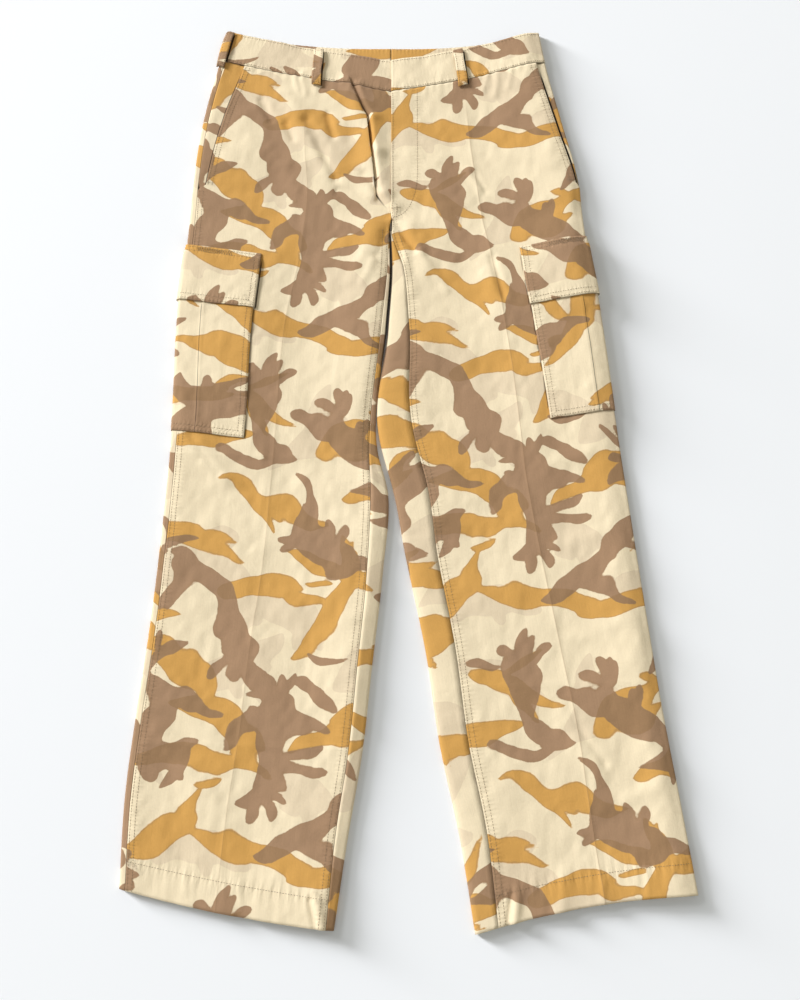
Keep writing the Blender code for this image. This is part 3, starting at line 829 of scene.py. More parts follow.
def makeShell(name, points, outward, wall, place, shift, keep=None, crease=None, gap=None):
    # a fine grid as one sheet of cloth, its print stored on its points, thickened inward
    rows, columns = points.shape[:2]
    index = np.arange(rows * columns).reshape(rows, columns)
    corners = index[:-1, :-1], index[:-1, 1:], index[1:, 1:], index[1:, :-1]
    quads = np.stack(corners, axis=-1).reshape(-1, 4)
    flat, way = points.reshape(-1, 3), outward.reshape(-1, 3)
    used = np.ones(len(flat), bool) if keep is None else keep.reshape(-1)
    quads = quads[used[quads].all(axis=1)]
    middle = quads[len(quads) // 2]
    normal = np.cross(flat[middle[1]] - flat[middle[0]], flat[middle[3]] - flat[middle[0]])
    if normal @ way[middle[0]] < 0:
        quads = quads[:, ::-1]
    renumber = np.cumsum(used) - 1
    quads, flat = renumber[quads], flat[used]
    mesh = bpy.data.meshes.new(name)
    mesh.from_pydata(flat.tolist(), [], quads.tolist())
    mesh.shade_smooth()
    u, v = (np.broadcast_to(p, (rows, columns)).reshape(-1)[used] for p in place)
    u, v = u + shift[0], v + shift[1]
    for colour, field in printFields.items():
        store(mesh, colour, between(field, u / printRule["cell"], v / printRule["cell"]))
    # the pressed crease, and the lines where near-black shadow is painted, each as distance and strength
    for kind, line in (("crease", crease), ("gap", gap)):
        away, fade = line or (np.full((rows, columns), farOff), np.zeros((rows, columns)))
        store(mesh, f"{kind}Away", away.reshape(-1)[used])
        store(mesh, f"{kind}Fade", fade.reshape(-1)[used])
    laid = np.stack([u * mm, v * mm, u * 0], axis=-1)
    mesh.attributes.new("clothPlace", "FLOAT_VECTOR", "POINT").data.foreach_set("vector", laid.ravel())
    cloth = placeObject(name, mesh)
    wall = np.round(np.broadcast_to(wall, (rows, columns)).reshape(-1)[used], 5)
    group = cloth.vertex_groups.new(name="wall")
    for value in np.unique(wall):
        chosen = np.nonzero(wall == value)[0]
        group.add(chosen.tolist(), float(value / laidTube["thickest"]), "REPLACE")
    thick = cloth.modifiers.new("wall", "SOLIDIFY")
    thick.thickness = laidTube["thickest"]
    thick.offset = -1
    thick.vertex_group = group.name
    return cloth


def layShell(name, half, down, s, layer, wall, shift, turned=None, crease=None, gap=None):
    points, outward = layeredPoint(half, down, s, layer=layer)
    place = clothPlace(half, down, s, turned)
    return makeShell(name, points, outward, wall, place, shift, crease=crease, gap=gap)


def bodyWall(half, down, s):
    wall = np.where(down > laidTube["hemFold"] + 1 * mm, laidTube["hemWall"], laidTube["wall"])
    if half == "left":
        near = np.abs(s - laidTube["sideSeam"][half]) < laidTube["foldArc"] / 2
        wall = np.where(near, laidTube["pressedWall"], wall)
    return wall


def pressedCrease(half, down, s):
    # mm from the pressed crease, and how strongly it was pressed there
    away = (np.abs(s) - bend) / mm - tableValue(half, "crease", down)
    strength = 1.0 if half == "left" else 0.6
    return away, strength * creaseFade(down) + 0 * away


# Places: half, mm from the fold at the loop's top and bottom, room under it, shift of its print.
beltLoop = {
    "top": laidTube["bandTop"] + 1 * mm,
    "width": 13 * mm,
    "length": 60 * mm,
    "bulge": 2.2 * mm,
    "tilt": 1.7 * mm,
    "wall": 1.5 * mm,
    "places": {
        "belt_loop_front_right": ("right", 128 * mm, 138 * mm, 0.0, (300, 70)),
        "belt_loop_front_left": ("left", 116 * mm, 118 * mm, 0.0, (80, 210)),
        "belt_loop_side_right": ("right", 6.2 * mm, 6.2 * mm, 0.5 * mm, (210, 400)),
    },
}

# Painted shadow: a near-black colour painted along deep narrow gaps that no light reaches, as a signed
# distance from a line over the gap's half width.
shadowLineSizes = {
    "loop": 1.4 * mm,
    "loopAside": {
        "belt_loop_front_right": 6.3 * mm,
        "belt_loop_front_left": 8.0 * mm,
        "belt_loop_side_right": 4.4 * mm,
    },
    "loopEnds": (0.01, 0.06),  # shares of the loop's length: how far from its end, over how much it fades
    "fold": 2.2,  # this and the three below are in the tables' mm
    "foldAside": 7.2,
    "foldTop": (566, 50),
    "foldEnd": (388, 26),
    "flap": {"right": (1.1 * mm, 0.95), "left": (0.6 * mm, 0.6)},
    "flapInset": 0.7 * mm,
    "flapStart": (6 * mm, 10 * mm),
    "pocket": (0.6 * mm, 0.7),
    "pocketInset": 0.3 * mm,
    "pleat": (0.5 * mm, 0.7),
    "pleatFade": 6 * mm,
    "crotch": 3.6 * mm,
    "mouth": {"right": (1.1 * mm, 0.85 * mm, 0.8), "left": (2.0 * mm, 1.7 * mm, 1.0)},
    "mouthStart": (8 * mm, 24 * mm),
    "cutOff": 5,
}


def nearest(one, other):
    # of two lines the one with the smaller distance, each cut off far from its line
    lines = [(away, np.where(np.abs(away) < shadowLineSizes["cutOff"], fade, 0.0)) for away, fade in (one, other)]
    closer = np.abs(lines[1][0]) < np.abs(lines[0][0])
    return np.where(closer, lines[1][0], lines[0][0]), np.where(closer, lines[1][1], lines[0][1])


def loopShadowLine(half, down, s):
    # the painted shadow in the slit beside each belt loop, under its raised edge
    found = np.full_like(s, farOff), np.zeros_like(s)
    inset, fade = shadowLineSizes["loopEnds"]
    share = (down - beltLoop["top"]) / beltLoop["length"]
    ends = smoothStep((share - inset) / fade) * smoothStep((1 - inset - share) / fade)
    for name, (side, top, bottom, _room, _shift) in beltLoop["places"].items():
        if side == half:
            reach = shadowLineSizes["loopAside"][name]
            edge = top + (bottom - top) * share + (reach if half == "right" else -reach)
            found = nearest(found, ((s - edge) / shadowLineSizes["loop"], ends))
    return found


def pocketShadowLine(half, down, s):
    # the painted shadow line where the flap and the pocket stand off the leg
    inward = s - laidTube["sideSeam"][half] - cargoHalfWidth(down)
    width, strength = shadowLineSizes["flap"][half]
    start, fade = shadowLineSizes["flapStart"]
    beside = smoothStep((down - laidTube["flapTop"] - start) / fade) * (down < laidTube["flapBottom"])
    flap = (inward - shadowLineSizes["flapInset"]) / width, beside * strength
    width, strength = shadowLineSizes["pocket"]
    below = (down > laidTube["flapBottom"]) * (down < laidTube["pocketBottom"])
    pocket = (inward + cargoSizes["overhang"] - shadowLineSizes["pocketInset"]) / width, below * strength
    return nearest(flap, pocket)


def pleatShadowLine(half, down, s):
    # the painted shadow line in the fold of the pocket's pleat
    away = s - laidTube["sideSeam"][half] - cargoSizes["pleat"]
    width, strength = shadowLineSizes["pleat"]
    fade = smoothStep((down - laidTube["flapBottom"]) / shadowLineSizes["pleatFade"])
    return away / width, strength * fade + 0 * s


def foldShadowLine(down, s):
    # the painted shadow line in the pinch of the deep fold, from where its points lay before it leaned over
    share = (s - bend) / rowWidth("right", down)
    outerX, outerY, innerX, innerY = rowEnds("right", down)
    x, y = outerX + (innerX - outerX) * share, outerY + (innerY - outerY) * share
    knots = np.array([run[:2] for run in leans] + [leans[-1][2:4]])[::-1]
    line = np.interp(y, knots[:, 1], knots[:, 0]) + shadowLineSizes["foldAside"]
    (top, topFade), (end, endFade) = shadowLineSizes["foldTop"], shadowLineSizes["foldEnd"]
    return (x - line) / shadowLineSizes["fold"], smoothStep((top - y) / topFade) * smoothStep((y - end) / endFade)


frontShell = {
    "rowPitch": 3.3 * mm,
    "columns": 132,
    "closer": {"right": (0.64, 0.9, 1.9), "left": None},
    "shift": {"right": (40, 120), "left": (310, 395)},
    "mouthRun": 7 * mm,
    "flyRun": 8 * mm,
}


def frontEdges(half, downs):
    # where the front starts at the side seam, cut away at the mouth, and ends at the fly and the inseam
    seam = laidTube["sideSeam"][half] + laidTube["sideGap"][half] / 2
    mouthEnd, run = laidTube["mouthEnd"], frontShell["mouthRun"]
    mouth = mouthEdge(half, np.minimum(downs, mouthEnd))
    start = seam + (mouth - seam) * (1 - np.clip((downs - mouthEnd) / run, 0, 1))
    below = np.clip((downs - mouthEnd - run) / (laidTube["crotch"] - mouthEnd - run), 0, 1)
    end = (tableValue(half, "inseam", downs) * mm + laidTube["seamGap"] / 2) * below
    if half == "right":
        lapped = 1 - np.clip((downs - laidTube["flyEnd"]) / frontShell["flyRun"], 0, 1)
        end = end - flySizes["underlap"] * lapped
    return start, rowWidth(half, downs) + bend - end


def frontLayer(half, down, s):
    return flyLift(half, down, rowWidth(half, down) - s)


def makeFront(half):
    downs = steps(laidTube["seamGap"], laidTube["hem"], frontShell["rowPitch"])
    start, end = frontEdges(half, downs)
    s = panelColumns(start, end, frontShell["columns"], frontShell["closer"][half])
    down = eachRow(downs, s)
    layer, wall = frontLayer(half, down, s), bodyWall(half, down, s)
    # the pressed crease, and where shadow is painted: beside the belt loops, along the flap and the pocket,
    # and on the right in the deep fold
    crease, gap = pressedCrease(half, down, s), nearest(loopShadowLine(half, down, s), pocketShadowLine(half, down, s))
    if half == "right":
        gap = nearest(gap, foldShadowLine(down, s))
    shift = frontShell["shift"][half]
    return layShell(f"front_{half}_cloth", half, down, s, layer, wall, shift, crease=crease, gap=gap)


# The back has columns on its flat part, round the outer fold, round the inner fold and up the strip that
# reaches the inseam on top, as shares of that strip.
backShell = {
    "rowPitch": 3.6 * mm,
    "columns": 66,
    "clear": 16 * mm,
    "outerFold": 8,
    "innerFold": np.array([-10, -4.9, -3.6, -2.4, -1.2, -0.02]) * mm,
    "strip": np.array([0.12, 0.26, 0.42, 0.6, 0.8, 1.0]),
    "shift": {"right": (205, 60), "left": (95, 500)},
}


def makeBack(half):
    downs = steps(laidTube["seamGap"], laidTube["hem"], backShell["rowPitch"])
    width = rowWidth(half, downs, below=True)
    start = np.full_like(downs, laidTube["sideSeam"][half] - laidTube["sideGap"][half] / 2)
    outer = panelColumns(start, -(width - backShell["clear"]), backShell["columns"])
    count = backShell["outerFold"]
    turn = np.linspace(start[0] - 0.4 * mm, -laidTube["foldArc"], count + 1)[1:]
    outer = np.concatenate([outer, np.broadcast_to(turn, (len(downs), count))], axis=1)
    outer = np.sort(outer, axis=1)[:, ::-1]
    fold, shares = backShell["innerFold"], backShell["strip"]
    inseam = tableValue(half, "inseam", downs) * mm + bend - laidTube["seamGap"] / 2
    inner = np.broadcast_to(fold, (len(downs), len(fold)))
    inner = np.concatenate([inner, inseam[:, None] * shares], axis=1)
    outerPoints, outerWays = layeredPoint(half, eachRow(downs, outer), outer)
    innerPoints, innerWays = layeredPoint(half, eachRow(downs, inner), inner, fromInner=True)
    keep = np.ones((len(downs), outer.shape[1] + inner.shape[1]), bool)
    keep[:, -len(shares) :] = (downs > laidTube["crotch"] - 1 * mm)[:, None]
    whole = width[:, None] + 2 * bend
    s = np.concatenate([outer, -whole - inner], axis=1)
    down = eachRow(downs, s)
    return makeShell(
        f"back_{half}_cloth",
        np.concatenate([outerPoints, innerPoints], axis=1),
        np.concatenate([outerWays, innerWays], axis=1),
        bodyWall(half, down, s),
        clothPlace(half, down, s),
        backShell["shift"][half],
        keep,
        pressedCrease(half, down, s),
        # painted shadow along the inner fold, in the slit between the legs below the crotch
        ((s + whole) / shadowLineSizes["crotch"], crotchReach(down)),
    )


bandShell = {
    "rows": 20,
    "columns": 82,
    "foldReach": 10 * mm,
    "wall": 1.7 * mm,
    "proud": 0.4 * mm,
    "proudFade": 4 * mm,
    "grain": {"right": 11, "left": -11},
    "shift": {"right": (60, 330), "left": (420, 90)},
}


def bandLayer(half, down, s):
    lift = flyLift(half, down, rowWidth(half, down) + bend - s)
    return bandShell["proud"] * smoothStep(s / bandShell["proudFade"]) + np.where(s > 0, lift, 0.0)


def makeBand(half):
    downs = np.linspace(laidTube["bandTop"], -laidTube["seamGap"] / 2, bandShell["rows"])
    lap = flySizes["underlap"] if half == "right" else 0.0
    front = rowWidth(half, downs) + bend + lap
    back = -(rowWidth(half, downs, below=True) + bend)
    s = roundColumns(front, back, bandShell["foldReach"], bandShell["columns"])
    down = eachRow(downs, s)
    # painted shadow beside the belt loops
    layer, wall, gap = bandLayer(half, down, s), bandShell["wall"], loopShadowLine(half, down, s)
    turned, shift = bandShell["grain"][half], bandShell["shift"][half]
    return layShell(f"waistband_{half}_cloth", half, down, s, layer, wall, shift, turned, gap=gap)


facingShell = {
    "rowPitch": 3.5 * mm,
    "columns": 19,
    "depth": 24 * mm,
    "sink": 1.75 * mm,
    "sinkStart": 0.55,
    "inset": 2.8 * mm,
    "near": 2.5 * mm,
    "foot": {"right": 8 * mm, "left": -2 * mm},
    "dip": {"right": (-3 * mm, 5 * mm), "left": (-40 * mm, -10 * mm)},
    "grain": 4,
    "shift": (150, 240),
}


def makeFacing(half):
    # its columns run over four knots: side seam, halfway, just outside the mouth, deep inside
    foot = laidTube["mouthEnd"] + facingShell["foot"][half]
    downs = steps(laidTube["seamGap"], foot, facingShell["rowPitch"])
    mouth = mouthEdge(half, np.minimum(downs, laidTube["mouthEnd"]))
    early, late = facingShell["dip"][half]
    ends = smoothStep((downs - laidTube["mouthEnd"] - early) / (late - early))
    seam = laidTube["sideSeam"][half] + laidTube["seamGap"] / 2
    start = np.full_like(downs, seam) if half == "right" else facingShell["inset"] * ends
    near = mouth - facingShell["near"]
    knots = np.stack([start, (start + near) / 2, near, mouth + facingShell["depth"]])
    least = facingShell["sinkStart"]
    sinks = np.stack([ends, least + (1 - least) * ends, np.ones_like(ends), np.ones_like(ends)])
    walls = [laidTube["pressedWall"], laidTube["pressedWall"], laidTube["wall"], laidTube["wall"]]
    t = np.linspace(0, 3, facingShell["columns"])
    s = np.array([np.interp(t, range(4), knots[:, i]) for i in range(len(downs))])
    sink = np.array([np.interp(t, range(4), sinks[:, i]) for i in range(len(downs))])
    down = eachRow(downs, s)
    wall = np.broadcast_to(np.round(np.interp(t, range(4), walls), 4), s.shape)
    # painted shadow line on the facing, just inside the pocket mouth's edge
    aside, width, strength = shadowLineSizes["mouth"][half]
    first, fade = shadowLineSizes["mouthStart"]
    gap = ((s - mouth[:, None] + aside) / width, smoothStep((down - first) / fade) * strength)
    layer, turned, shift = -facingShell["sink"] * sink, facingShell["grain"], facingShell["shift"]
    return layShell(f"pocket_facing_{half}_cloth", half, down, s, layer, wall, shift, turned, gap=gap)


cargoShell = {
    "pitch": 2.6 * mm,
    "columns": 34,
    "foldReach": 9 * mm,
    "edge": 0.4 * mm,
    "edgeReach": 5 * mm,
    "pleatProud": 0.55 * mm,
    "pleatHalf": (1.8 * mm, 1.6 * mm),
    "pleatDepth": 26 * mm,
    "pleatFade": (12 * mm, 6 * mm),
    "rideStart": 2 * mm,
    "pocketShift": {"right": (330, 40), "left": (20, 280)},
    "flapShift": {"right": (120, 205), "left": (250, 330)},
}


def pocketWall(half, down, s):
    # full beyond the pleat, thinner over the side seam, pressed flat where it is sewn down
    edge = cargoHalfWidth(down) - cargoSizes["overhang"]
    away = np.abs(s - laidTube["sideSeam"][half])
    step = smoothStep((away - cargoSizes["pleat"] + 1 * mm) / cargoSizes["pleatStep"])
    full = laidTube["wall"] + (cargoSizes["pleatWall"] - laidTube["wall"]) * step
    sewn = np.minimum(edge - away, laidTube["pocketBottom"] - down)
    return full - cargoShell["edge"] * (1 - smoothStep(sewn / cargoShell["edgeReach"]))


def pocketLayer(half, down, s):
    # a pressed fold stands up where the pleat turns under
    away = np.abs(s - laidTube["sideSeam"][half]) - cargoSizes["pleat"] - 1.5 * mm
    (outer, inner), (bottomFade, foldFade) = cargoShell["pleatHalf"], cargoShell["pleatFade"]
    pleat = np.exp(-((away / outer) ** 2)) + 0.5 * np.exp(-((away - cargoShell["pleatDepth"]) / inner) ** 2)
    unsewn = smoothStep((laidTube["pocketBottom"] - down) / bottomFade) * smoothStep(s / foldFade)
    return laidTube["layerGap"] + pocketWall(half, down, s) + cargoShell["pleatProud"] * pleat * unsewn


def flapLayer(half, down, s):
    # the flap starts on the leg and rides up onto the pocket
    over = laidTube["layerGap"] + cargoSizes["pleatWall"]
    start = laidTube["flapTop"] + cargoShell["rideStart"]
    ride = smoothStep((down - start) / (laidTube["pocketTop"] - start))
    return laidTube["layerGap"] + over * ride + cargoSizes["flapWall"]


def sideColumns(half, downs, overhang):
    edge = cargoHalfWidth(downs) - (0 if overhang else cargoSizes["overhang"])
    seam = laidTube["sideSeam"][half]
    return roundColumns(seam + edge, seam - edge, cargoShell["foldReach"], cargoShell["columns"])


def makeCargoPocket(half):
    downs = steps(laidTube["pocketTop"], laidTube["pocketBottom"], cargoShell["pitch"])
    s = sideColumns(half, downs, overhang=False)
    down = eachRow(downs, s)
    layer, wall = pocketLayer(half, down, s), pocketWall(half, down, s)
    shift, gap = cargoShell["pocketShift"][half], pleatShadowLine(half, down, s)
    return layShell(f"cargo_pocket_{half}_cloth", half, down, s, layer, wall, shift, gap=gap)


def makeCargoFlap(half):
    downs = steps(laidTube["flapTop"], laidTube["flapBottom"], cargoShell["pitch"])
    s = sideColumns(half, downs, overhang=True)
    down = eachRow(downs, s)
    layer, shift = flapLayer(half, down, s), cargoShell["flapShift"][half]
    return layShell(f"cargo_flap_{half}_cloth", half, down, s, layer, cargoSizes["flapWall"], shift)


def loopSpan(half, down, middle, layer):
    # how far round the loop reaches to each side, so that its face is as wide as its cut
    low, high = np.zeros_like(down), np.full_like(down, beltLoop["width"] / 2)
    for _ in range(18):
        span = (low + high) / 2
        s = middle[:, None] + span[:, None] * np.linspace(-1, 1, 21)
        points, _way = layeredPoint(half, eachRow(down, s), s, layer=layer[:, None])
        narrow = np.linalg.norm(np.diff(points, axis=1), axis=-1).sum(axis=1) < beltLoop["width"]
        low, high = np.where(narrow, span, low), np.where(narrow, high, span)
    return (low + high) / 2


def loopSpot(name, share, side):
    # a place on a loop by its share of the length and its side, from -0.5 to 0.5 across
    half, top, bottom, room, _ = beltLoop["places"][name]
    share, side = np.broadcast_arrays(np.asarray(share, float), np.asarray(side, float))
    knots = np.linspace(0, 1, 25)
    bulge = beltLoop["bulge"] * np.sin(math.pi * np.clip(knots, 0, 1)) ** 0.6
    layers = bandShell["proud"] + 2 * laidTube["layerGap"] + beltLoop["wall"] + room + bulge
    downs = beltLoop["top"] + beltLoop["length"] * knots
    spans = loopSpan(half, downs, top + (bottom - top) * knots, layers)
    s = top + (bottom - top) * share + 2 * side * np.interp(share, knots, spans)
    tilt = beltLoop["tilt"] * (side + 0.5 if half == "right" else 0.5 - side)
    layer = np.interp(share, knots, layers) + tilt * (0.0 if room else 1.0)
    return half, beltLoop["top"] + beltLoop["length"] * share, s, layer


def makeLoop(name):
    share, side = np.meshgrid(np.linspace(0, 1, 31), np.linspace(-0.5, 0.5, 9), indexing="ij")
    shift = beltLoop["places"][name][4]
    return layShell(f"{name}_cloth", *loopSpot(name, share, side), beltLoop["wall"], shift)


# node name -> finished sheet
cloths = {}
for half in stations:
    cloths[f"front_{half}"] = makeFront(half)
    cloths[f"back_{half}"] = makeBack(half)
    cloths[f"waistband_{half}"] = makeBand(half)
    cloths[f"pocket_facing_{half}"] = makeFacing(half)
    cloths[f"cargo_pocket_{half}"] = makeCargoPocket(half)
    cloths[f"cargo_flap_{half}"] = makeCargoFlap(half)
for name in beltLoop["places"]:
    cloths[name] = makeLoop(name)
print("cloth pieces", len(cloths))


clothFinish = {
    "cream": (0.900, 0.757, 0.528),
    "beige": (0.805, 0.659, 0.462),
    "ochre": (0.672, 0.362, 0.096),
    "taupe": (0.396, 0.243, 0.142),
    # where two dyes overlap, and the colour the painted crease shade darkens toward
    "overlap": (0.345, 0.205, 0.105),
    "inside": (0.800, 0.720, 0.570),
    # near-black painted shadow, for the narrow gaps and the darkened cut edges
    "gap": (0.030, 0.019, 0.012),
    "roughness": 0.82,
    "sheen": 0.12,
    "sheenRoughness": 0.4,
    "specular": 0.2,
    "ribs": 1150.0,
    "bleedScale": 160,
    "ragged": 1.8,
    "showThrough": 0.18,
    "pucker": 0.55,
    "puckerEvery": 5.2 * mm,
    "puckerUneven": 5,
    "crease": 1.0,
    "creaseWidth": 1.3,
    # the painted shade along the pressed crease: its width in mm, then how far it is darkened
    "creaseLine": 0.5,
    "creaseWorn": 0.42,
    # the cut edges' rims keep this share of their colour, the rest is painted shade toward the painted
    # shadow colour
    "edge": 0.45,
    "inkInset": 0.75,
    "inkEdge": 0.42,
    "inkSteep": 2.0,
    "inkSoft": 0.45,
    # how soft the edges of the painted shadow lines are
    "gapSoft": (1.1, 0.7),
    "bump": (0.65, 0.0006),
}

# How much each part of the weave adds to its height and, over a base, to its shade.
weaveFinish = {
    "slant": 0.8,
    "slubScale": 420,
    "crumpleScale": 38,
    "streakScale": (820, 22, 1),
    "height": {"rib": 0.12, "slub": 0.5, "crumple": 3.4, "streak": 0.35},
    "shade": {"base": 0.89, "slub": 0.10, "streak": 0.12, "rib": 0.015},
}


def newSocket(tree, name, way, kind, value=None):
    made = tree.interface.new_socket(name=name, in_out=way, socket_type=kind)
    if value is not None:
        made.default_value = value
    return made


def mathNode(tree, operation, a, b=None):
    node = tree.nodes.new("ShaderNodeMath")
    node.operation = operation
    for slot, value in enumerate((a, b)):
        if value is None:
            continue
        if isinstance(value, (int, float)):
            node.inputs[slot].default_value = value
        else:
            tree.links.new(value, node.inputs[slot])
    return node.outputs[0]


def plus(tree, a, b):
    return mathNode(tree, "ADD", a, b)


def times(tree, a, b):
    return mathNode(tree, "MULTIPLY", a, b)


def noiseNode(tree, place, scale, detail=2):
    node = tree.nodes.new("ShaderNodeTexNoise")
    node.inputs["Scale"].default_value = scale
    node.inputs["Detail"].default_value = detail
    tree.links.new(place, node.inputs["Vector"])
    return node.outputs[0]


def rangeNode(tree, value, start, end, most=1.0):
    # from 0 at start to most at end
    node = tree.nodes.new("ShaderNodeMapRange")
    node.inputs["From Min"].default_value = start
    node.inputs["From Max"].default_value = end
    node.inputs["To Max"].default_value = most
    tree.links.new(value, node.inputs["Value"])
    return node


def newMaterial(name, roughness):
    material = bpy.data.materials.new(name)
    material.use_nodes = True
    shader = material.node_tree.nodes["Principled BSDF"]
    shader.inputs["Roughness"].default_value = roughness
    return material, material.node_tree, shader


def twillGroup():
    # diagonal ribs and a little unevenness in the yarn
    tree = bpy.data.node_groups.new("twillWeave", "ShaderNodeTree")
    newSocket(tree, "Place", "INPUT", "NodeSocketVector")
    newSocket(tree, "Ribs", "INPUT", "NodeSocketFloat", clothFinish["ribs"])
    newSocket(tree, "Height", "OUTPUT", "NodeSocketFloat")
    newSocket(tree, "Shade", "OUTPUT", "NodeSocketFloat")
    into, out = tree.nodes.new("NodeGroupInput"), tree.nodes.new("NodeGroupOutput")
    place = into.outputs["Place"]
    split = tree.nodes.new("ShaderNodeSeparateXYZ")
    tree.links.new(place, split.inputs[0])
    diagonal = plus(tree, split.outputs[0], times(tree, split.outputs[1], weaveFinish["slant"]))
    turns = times(tree, times(tree, diagonal, into.outputs["Ribs"]), 2 * math.pi)
    drawn = tree.nodes.new("ShaderNodeVectorMath")
    drawn.operation = "MULTIPLY"
    drawn.inputs[1].default_value = weaveFinish["streakScale"]
    tree.links.new(place, drawn.inputs[0])
    parts = {
        "rib": mathNode(tree, "SINE", turns),
        "slub": noiseNode(tree, place, weaveFinish["slubScale"], 3),
        "crumple": noiseNode(tree, place, weaveFinish["crumpleScale"], 4),
        "streak": noiseNode(tree, drawn.outputs[0], 1, 3),
    }
    for output in ("height", "shade"):
        total = weaveFinish[output].get("base", 0.0)
        for part, weight in weaveFinish[output].items():
            if part != "base":
                total = plus(tree, times(tree, parts[part], weight), total)
        tree.links.new(total, out.inputs[output.title()])
    return tree


twill = twillGroup()


def attribute(tree, name, output):
    node = tree.nodes.new("ShaderNodeAttribute")
    node.attribute_name = name
    return node.outputs[output]


def mixColour(tree, mask, below, above, blend="MIX"):
    node = tree.nodes.new("ShaderNodeMix")
    node.data_type = "RGBA"
    node.blend_type = blend
    if isinstance(mask, float):
        node.inputs[0].default_value = mask
    else:
        tree.links.new(mask, node.inputs[0])
    for socket, value in ((node.inputs[6], below), (node.inputs[7], above)):
        if isinstance(value, tuple):
            socket.default_value = (*value, 1)
        else:
            tree.links.new(value, socket)
    return node.outputs[2]


def inkEdge(tree, field):
    # the dye settles darker just inside the edge of a printed shape
    inset = plus(tree, field, clothFinish["inkInset"])
    bell = mathNode(tree, "EXPONENT", times(tree, times(tree, inset, inset), -clothFinish["inkSteep"]))
    return times(tree, bell, clothFinish["inkEdge"])


def printedColour(tree, bleed, printed):
    # the dyes one over the other on the plain cloth, which inside only show through
    ragged = times(tree, mathNode(tree, "SUBTRACT", bleed, 0.5), clothFinish["ragged"])
    soft = clothFinish["inkSoft"]
    colour = clothFinish["cream"] if printed else clothFinish["inside"]
    strength = 1.0 if printed else clothFinish["showThrough"]
    masks = {}
    for field, finish in (("beige", "beige"), ("ochre", "ochre"), ("brown", "taupe")):
        edge = plus(tree, attribute(tree, field, "Fac"), ragged)
        masks[field] = rangeNode(tree, edge, soft, -soft, strength).outputs[0]
        over = clothFinish[finish]
        if field == "brown":
            over = mixColour(tree, masks["ochre"], over, clothFinish["overlap"])
        if field != "beige":
            over = mixColour(tree, inkEdge(tree, edge), over, clothFinish["overlap"])
        colour = mixColour(tree, masks[field], colour, over)
    return colour


def paintGapShadow(tree, colour):
    # paints near-black shadow along the stored lines, soft at their edges and scaled by their strength
    hole = mathNode(tree, "ABSOLUTE", attribute(tree, "gapAway", "Fac"))
    deep = rangeNode(tree, hole, *clothFinish["gapSoft"])
    deep.interpolation_type = "SMOOTHSTEP"
    deep = times(tree, deep.outputs[0], attribute(tree, "gapFade", "Fac"))
    return mixColour(tree, deep, colour, clothFinish["gap"])


def creaseLine(tree, width):
    # 1 on the pressed crease, fading away from it over the width in mm
    away = mathNode(tree, "ABSOLUTE", attribute(tree, "creaseAway", "Fac"))
    line = mathNode(tree, "EXPONENT", times(tree, away, -1 / width))
    return times(tree, line, attribute(tree, "creaseFade", "Fac"))


def seamPuckers(tree, bleed):
    wave = times(tree, attribute(tree, "sewnRun", "Fac"), 2 * math.pi / clothFinish["puckerEvery"])
    wave = mathNode(tree, "SINE", plus(tree, wave, times(tree, bleed, clothFinish["puckerUneven"])))
    return times(tree, wave, attribute(tree, "sewnNear", "Fac"))


def clothMaterial(name, printed, shade=1.0):
    material, tree, shader = newMaterial(name, clothFinish["roughness"])
    shader.inputs["Sheen Weight"].default_value = clothFinish["sheen"]
    shader.inputs["Sheen Roughness"].default_value = clothFinish["sheenRoughness"]
    shader.inputs["Specular IOR Level"].default_value = clothFinish["specular"]
    place = attribute(tree, "clothPlace", "Vector")
    weave = tree.nodes.new("ShaderNodeGroup")
    weave.node_tree = twill
    weave.inputs["Ribs"].default_value = clothFinish["ribs"]
    tree.links.new(place, weave.inputs["Place"])
    bleed = noiseNode(tree, place, clothFinish["bleedScale"], 3)
    colour = paintGapShadow(tree, printedColour(tree, bleed, printed))
    # painted shade: a thin darker line along the pressed crease
    paintedCreaseShade = times(tree, creaseLine(tree, clothFinish["creaseLine"]), clothFinish["creaseWorn"])
    colour = mixColour(tree, paintedCreaseShade, colour, clothFinish["overlap"])
    colour = mixColour(tree, 1.0, colour, weave.outputs["Shade"], "MULTIPLY")
    # a painted-shade copy, darkened toward the painted shadow colour
    if shade < 1:
        colour = mixColour(tree, 1 - shade, colour, clothFinish["gap"])
    tree.links.new(colour, shader.inputs["Base Color"])
    puckers = times(tree, seamPuckers(tree, bleed), clothFinish["pucker"])
    crease = times(tree, creaseLine(tree, clothFinish["creaseWidth"]), clothFinish["crease"])
    relief = plus(tree, plus(tree, weave.outputs["Height"], puckers), crease)
    bump = tree.nodes.new("ShaderNodeBump")
    bump.inputs["Strength"].default_value, bump.inputs["Distance"].default_value = clothFinish["bump"]
    tree.links.new(relief, bump.inputs["Height"])
    tree.links.new(bump.outputs[0], shader.inputs["Normal"])
    return material


printedTwill = clothMaterial("printedTwill", True)
insideTwill = clothMaterial("insideTwill", False)
# the cut edges' rims get a darker copy of the printed cloth: painted shade
edgeTwill = clothMaterial("edgeTwill", True, clothFinish["edge"])
for cloth in cloths.values():
    inner = printedTwill if cloth.name.startswith("waistband") else insideTwill
    for material in (printedTwill, inner, edgeTwill):
        cloth.data.materials.append(material)
    cloth.modifiers["wall"].material_offset = 1
    cloth.modifiers["wall"].material_offset_rim = 2
print("cloth finished")


threadFinish = {"colour": (0.310, 0.215, 0.120), "dark": 0.8, "roughness": 0.55}


